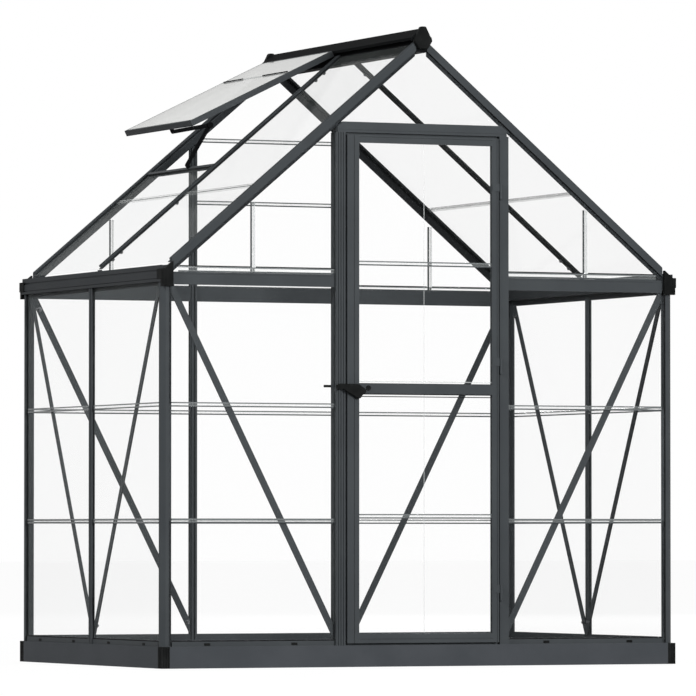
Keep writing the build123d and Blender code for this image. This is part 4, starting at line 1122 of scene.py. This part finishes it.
@dataclass
class DrainPlugs:
    """Black plugs in the drain notches of the sills."""

    plan: Layout
    finish: bpy.types.Material
    half_width: float = 0.0107
    half_height: float = 0.0042
    level: float = 0.0765
    outer: float = 0.0021
    inner: float = 0.0046
    end_places: tuple[float, ...] = (0.45425, 0.76081)
    back_middle: float = 0.1537
    side_places: tuple[float, ...] = (0.15575, 0.4591)

    def plug(self, outer: Point, inner: Point, across: Point) -> Shell:
        """One plug, a rounded bar from its outer end to its inner one."""
        profile = rounded_bar(self.half_width, self.half_height)
        return carried(profile, straight(outer, inner), across, (0, 0, 1))

    def build(self) -> None:
        """Makes the plugs of all four walls."""
        plugs = []
        z = self.level
        for sy in (-1.0, 1.0):
            near, far = sy * (self.plan.end_face - self.outer), sy * (self.plan.end_face - self.inner)
            places = self.end_places if sy < 0 else (*self.end_places, self.back_middle)
            for x in (sx * place for place in places for sx in (-1.0, 1.0)):
                plugs.append(self.plug((x, near, z), (x, far, z), (1, 0, 0)))
        for sx in (-1.0, 1.0):
            near, far = sx * (self.plan.side_face - self.outer), sx * (self.plan.side_face - self.inner)
            for y in (sy * place for place in self.side_places for sy in (-1.0, 1.0)):
                plugs.append(self.plug((near, y, z), (far, y, z), (0, 1, 0)))
        piece("drain_plugs", joined(plugs), self.finish, Body.HOUSE)


@dataclass
class LeverHandle:
    """Black lever: a knob at the free end, a tapering blade, a lobe below and a hub on the spindle."""

    finish: bpy.types.Material
    knob: Pair = (-0.3075, 0.9110)
    knob_radius: float = 0.0100
    lobe: Pair = (-0.2385, 0.8825)
    lobe_radius: float = 0.0095
    hub: Pair = (-0.2220, 0.8980)
    hub_radius: float = 0.0090
    shoulder: Pair = (-0.2400, 0.9210)
    waist: Pair = (-0.2960, 0.9045)
    back: float = -0.6401
    front: float = -0.6490
    edge: float = 0.0020
    spindle_radius: float = 0.0038
    spindle_foot: float = -0.6381

    def arc(self, centre: Pair, radius: float, first: float, last: float) -> np.ndarray:
        """Arc of an outline: centre plus radius times cosine and sine, between two angles in degrees."""
        angle = np.radians(np.linspace(first, last, 11))
        return np.asarray(centre) + radius * np.stack([np.cos(angle), np.sin(angle)], axis=1)

    def outline(self) -> np.ndarray:
        """Outline seen from the front: knob, waist, lobe, hub and shoulder, joined by straight edges."""
        return np.concatenate(
            [
                self.arc(self.knob, self.knob_radius, 90.0, 300.0),
                [self.waist],
                self.arc(self.lobe, self.lobe_radius, 225.0, 350.0),
                self.arc(self.hub, self.hub_radius, 290.0, 420.0),
                [self.shoulder],
            ]
        )

    def build(self) -> None:
        """Makes the lever with rounded front edges and its spindle."""
        roll = np.linspace(0.0, math.pi / 2.0, 6)
        depth = np.concatenate([[self.back], self.front + self.edge * (1.0 - np.sin(roll))])
        inset = np.concatenate([[0.0], self.edge * (1.0 - np.cos(roll))])
        path = np.stack([np.zeros_like(depth), depth, np.zeros_like(depth)], axis=1)
        blade = carried(self.outline(), path, (1, 0, 0), (0, 0, 1), inset)
        length = self.spindle_foot - self.back + self.edge
        rings = np.array([(self.spindle_radius, 0.0), (self.spindle_radius, length)])
        spindle = turned(rings, (self.hub[0], self.spindle_foot, self.hub[1]), (0, -1, 0), 24, np.zeros(2))
        made = piece("lever_handle", joined([blade, spindle]), self.finish, Body.HANDLE)
        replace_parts(made, "door_handle")


@dataclass
class Fixings:
    """Nuts, washers and bolt ends where the braces meet the frame and along the middle rafters."""

    plan: Layout
    finish: bpy.types.Material
    nut_across: float = 0.0115
    nut_height: float = 0.005
    washer: float = 0.008
    washer_height: float = 0.0012
    bolt: float = 0.003
    bolt_end: float = 0.0085
    chamfer: float = 0.0006
    brace_inner: float = 0.0154
    end_brace: tuple[Pair, Pair] = ((0.299, 0.090), (0.886, 1.235))
    side_brace: tuple[Pair, Pair] = ((-0.002, 0.090), (0.569, 1.235))
    brace_shares: Pair = (0.035, 0.965)
    rafter_places: tuple[float, ...] = (0.085, 0.115, 0.560, 0.620, 0.820, 0.850)
    rafter_depth: float = 0.011

    def nut(self, centre: Point, axis: Point) -> Shell:
        """Washer, chamfered hexagon nut and bolt end as one turned outline."""
        w, h, cut = self.washer, self.washer_height, self.chamfer
        r, top = self.nut_across / 2.0, self.washer_height + self.nut_height
        rings = np.array(
            [
                (w, 0.0), (w, h * 0.7), (w - h * 0.3, h), (r * 0.98, h), (r * 1.08, h + cut),
                (r * 1.08, top - cut), (r * 0.96, top), (self.bolt, top),
                (self.bolt, self.bolt_end - cut), (self.bolt - cut, self.bolt_end),
            ]
        )
        flats = np.array([0.0, 0.0, 0.0, 0.3, 1.0, 1.0, 0.3, 0.0, 0.0, 0.0])
        return turned(rings, centre, axis, 24, flats)

    def on_brace(self, ends: tuple[Pair, Pair], share: float) -> Pair:
        """Point at a share of the way up a brace: its place along the wall and its height."""
        (foot, low), (head, high) = ends
        return foot + share * (head - foot), low + share * (high - low)

    def build(self) -> None:
        """Makes the nuts at both ends of every brace and along the middle rafters."""
        nuts = []
        y = self.plan.end_face - self.brace_inner
        x = self.plan.side_face - self.brace_inner
        for share in self.brace_shares:
            along, height = self.on_brace(self.end_brace, share)
            side_along, side_height = self.on_brace(self.side_brace, share)
            for sx in (-1.0, 1.0):
                for sy in (-1.0, 1.0):
                    nuts.append(self.nut((sx * along, sy * y, height), (0, -sy, 0)))
                    nuts.append(self.nut((sx * x, sy * side_along, side_height), (-sx, 0, 0)))
        piece("brace_nuts", joined(nuts), self.finish, Body.HOUSE)
        piece("rafter_nuts", joined(self.rafter_nuts()), self.finish, Body.HOUSE)

    def rafter_nuts(self) -> list[Shell]:
        """Nuts on the inner face of the middle rafters: pairs near the ridge, pane joint and eaves."""
        nuts = []
        inward = self.plan.inward()
        for distance in self.rafter_places:
            for side in (-1.0, 1.0):
                axis = (side * inward[0], 0.0, inward[2])
                x, z = self.plan.roof_point(distance, self.rafter_depth)
                nuts.append(self.nut((side * x, 0.0, z), axis))
        return nuts


@dataclass
class Dressing:
    """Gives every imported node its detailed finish: its own where it has one, and otherwise its slot's."""

    by_slot: dict[Slot, bpy.types.Material]
    by_node: dict[str, bpy.types.Material]

    def apply(self) -> None:
        """Sets the finish in every material slot of every node."""
        slots = {part["node"]: part["material_slot"] for part in frame["record"]["subparts"]}
        for name, node in frame["nodes"].items():
            finish = self.by_node[name] if name in self.by_node else self.by_slot[Slot(slots[name])]
            if not node.material_slots:
                node.data.materials.append(finish)
            for place in node.material_slots:
                place.material = finish
            LOG.info("node %s dressed in %s", name, finish.name)


@dataclass(frozen=True)
class Lamp:
    """Square soft lamp: its name, its place, the length of its side and its light in watts."""

    name: str
    place: Point
    size: float
    power: float

    def hang(self, aim: Point) -> None:
        """Adds the lamp to the scene, turned to face a point."""
        data = bpy.data.lights.new(self.name, "AREA")
        data.size = self.size
        data.energy = self.power
        lamp = bpy.data.objects.new(self.name, data)
        away = np.asarray(self.place) - np.asarray(aim)
        lamp.location = self.place
        flat = math.hypot(away[0], away[1])
        lamp.rotation_euler = (math.atan2(flat, away[2]), 0.0, math.atan2(away[0], -away[1]))
        bpy.context.scene.collection.objects.link(lamp)


@dataclass
class Studio:
    """Pale floor, soft lamps, white surround and the camera."""

    floor_half: float = 70.0
    floor_cells: int = 8
    floor_drop: float = 0.0008
    floor_dark: Colour = (0.28, 0.28, 0.28)
    floor_pale: Colour = (0.32, 0.32, 0.32)
    floor_glow: float = 1.09
    glow_share: float = 0.88
    white: Colour = (1.0, 1.0, 1.0)
    sky: float = 0.16
    lamps: tuple[Lamp, ...] = (
        Lamp("key_lamp", (1.5, -11.0, 3.0), 2.6, 1080.0),
        Lamp("side_lamp", (-9.5, -3.5, 7.5), 3.0, 880.0),
        Lamp("back_lamp", (6.5, 10.0, 4.0), 3.0, 620.0),
    )
    aim: Point = (0.0, 0.0, 1.0)
    sensor: float = 36.0
    lens: float = 318.42
    eye: Point = (-8.4791, -18.9045, 0.4340)
    tilt: float = 1.726
    turn: float = -24.189

    def seen(self, g: Graph) -> Value:
        """1 for rays that show the surround itself: camera, mirror and see-through rays."""
        path = g.node("ShaderNodeLightPath", {}, {})
        camera = Value(g, path.outputs["Is Camera Ray"])
        glossy = Value(g, path.outputs["Is Glossy Ray"])
        through = Value(g, path.outputs["Is Transmission Ray"])
        return (camera + glossy + through).least(1.0)

    def floor(self) -> None:
        """Flat square floor, a grid of two parameters at a constant height, that keeps a soft shadow."""
        material, g = new_material("pale_floor")
        where = g.place()
        cloud = g.noise(where, 1.2, detail=3.0)
        lit = g.node(
            "ShaderNodeBsdfPrincipled",
            {},
            {
                "Base Color": g.tint(cloud, self.floor_dark, self.floor_pale),
                "Roughness": 0.8 + 0.1 * cloud,
                "Specular IOR Level": 0.1,
            },
        )
        glow = g.node("ShaderNodeEmission", {}, {"Color": self.white, "Strength": self.floor_glow})
        share = self.seen(g) * self.glow_share
        mixed = g.node("ShaderNodeMixShader", {}, {0: share, 1: lit.outputs[0], 2: glow.outputs[0]})
        g.finish(mixed.outputs[0])
        cells, count = np.arange(self.floor_cells), self.floor_cells + 1
        line = np.linspace(-self.floor_half, self.floor_half, count)
        across, along = np.meshgrid(line, line, indexing="ij")
        points = np.stack([across, along, np.full_like(across, -self.floor_drop)], axis=-1).reshape(-1, 3)
        row, column = np.meshgrid(cells, cells, indexing="ij")
        first = row * count + column
        quads = np.stack([first, first + count, first + count + 1, first + 1], axis=-1).reshape(-1, 4)
        mesh = bpy.data.meshes.new("floor")
        mesh.from_pydata(points.tolist(), [], quads.tolist())
        mesh.materials.append(material)
        made = bpy.data.objects.new("floor", mesh)
        bpy.context.scene.collection.objects.link(made)

    def surround(self) -> None:
        """White surround that lights the object evenly."""
        world = bpy.data.worlds.new("surround")
        world.use_nodes = True
        bpy.context.scene.world = world
        g = Graph(world.node_tree)
        lit = g.node("ShaderNodeBackground", {}, {"Color": self.white, "Strength": self.sky})
        shown = g.node("ShaderNodeBackground", {}, {"Color": self.white, "Strength": 1.0})
        mixed = g.node("ShaderNodeMixShader", {}, {0: self.seen(g), 1: lit.outputs[0], 2: shown.outputs[0]})
        g.finish(mixed.outputs[0], "ShaderNodeOutputWorld")

    def camera(self) -> None:
        """Camera at the photograph's place."""
        data = bpy.data.cameras.new("camera")
        data.sensor_width = self.sensor
        data.lens = self.lens
        made = bpy.data.objects.new("camera", data)
        made.location = self.eye
        made.rotation_euler = (math.radians(90.0 + self.tilt), 0.0, math.radians(self.turn))
        bpy.context.scene.collection.objects.link(made)
        bpy.context.scene.camera = made

    def build(self) -> None:
        """Sets the whole studio."""
        self.floor()
        self.surround()
        for lamp in self.lamps:
            lamp.hang(self.aim)
        self.camera()
        bpy.context.scene.view_settings.view_transform = "Standard"


def main() -> None:
    """Builds the greenhouse's dressing in order."""
    logging.basicConfig(level=logging.INFO, format="%(name)s %(message)s")
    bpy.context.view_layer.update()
    plan = Layout()
    grey, grey_dark, grey_worn = (0.052, 0.058, 0.062), (0.044, 0.049, 0.053), (0.092, 0.098, 0.103)
    # The deep colour of each coat is its painted shade colour.
    grey_dust, grey_painted_shade = (0.062, 0.067, 0.070), (0.014, 0.015, 0.016)
    frame_coat = CoatedMetal("frame_coat", grey, grey_dark, grey_worn, grey_dust, grey_painted_shade)
    # Painted shade: the rafters right of the middle, behind the front gable, take the deep colour all round.
    rafter_coat = replace(frame_coat, name="rafter_coat", back_shade_from=-0.5, gloss=0.006)
    gutter_coat = CoatedMetal(
        "gutter_coat",
        (0.034, 0.037, 0.040),
        (0.027, 0.030, 0.033),
        (0.080, 0.085, 0.090),
        (0.046, 0.048, 0.050),
        (0.012, 0.013, 0.014),
    )
    dark_coat = CoatedMetal(
        "ridge_coat",
        (0.0080, 0.0085, 0.0090),
        (0.0056, 0.0060, 0.0064),
        (0.030, 0.032, 0.034),
        (0.0100, 0.0105, 0.0110),
        (0.0050, 0.0053, 0.0056),
        gloss=0.002,
    )
    base_coat = CoatedMetal(
        "base_coat",
        (0.058, 0.063, 0.070),
        (0.048, 0.053, 0.059),
        (0.100, 0.106, 0.112),
        (0.080, 0.084, 0.087),
        (0.030, 0.033, 0.036),
        roughness=0.5,
    )
    plastic = MouldedPlastic("black_plastic").make()
    Studio().build()
    frame_finish, rafter_finish, gutter_finish = frame_coat.make(), rafter_coat.make(), gutter_coat.make()
    dark_finish, base_finish = dark_coat.make(), base_coat.make()
    pane = ClearSheet("clear_pane", (0.24, 0.27, 0.26), (0.34, 0.37, 0.36), 0.004, 0.15).make()
    vent_pane = ClearSheet("vent_sheet", (0.60, 0.61, 0.58), (0.66, 0.67, 0.64), 0.15, 1.10).make()
    Dressing(
        by_slot={
            Slot.FRAME: frame_finish,
            Slot.BASE: base_finish,
            Slot.BLACK: plastic,
            Slot.PANES: pane,
            Slot.STRIPS: pane,
        },
        by_node={
            "rafters_gables": rafter_finish,
            "rafters_middle": rafter_finish,
            "gutter_left": gutter_finish,
            "gutter_right": gutter_finish,
            "ridge_beam": dark_finish,
            "vent_stay": dark_finish,
            "vent_pane": vent_pane,
        },
    ).apply()
    strip = ClearStrip("clear_strip").make()
    rubber = SoftRubber("glazing_rubber").make()
    upright_strip = ClearStrip("upright_strip", pale_share=0.2).make()
    roof_strip = ClearStrip("roof_strip", rim=(0.50, 0.52, 0.51), rim_cover=0.32, pale_share=0.5).make()
    JoinerStrips(plan, strip, upright_strip, roof_strip).build()
    GlazingSeals(plan, rubber).build()
    PaneTrim(plan, strip, PaleSeam("pale_seam").make(), rubber).build()
    CornerInserts(plastic).build()
    DrainPlugs(plan, plastic).build()
    LeverHandle(plastic).build()
    Fixings(plan, PlatedSteel("plated_steel").make()).build()


if __name__ == "__main__":
    main()
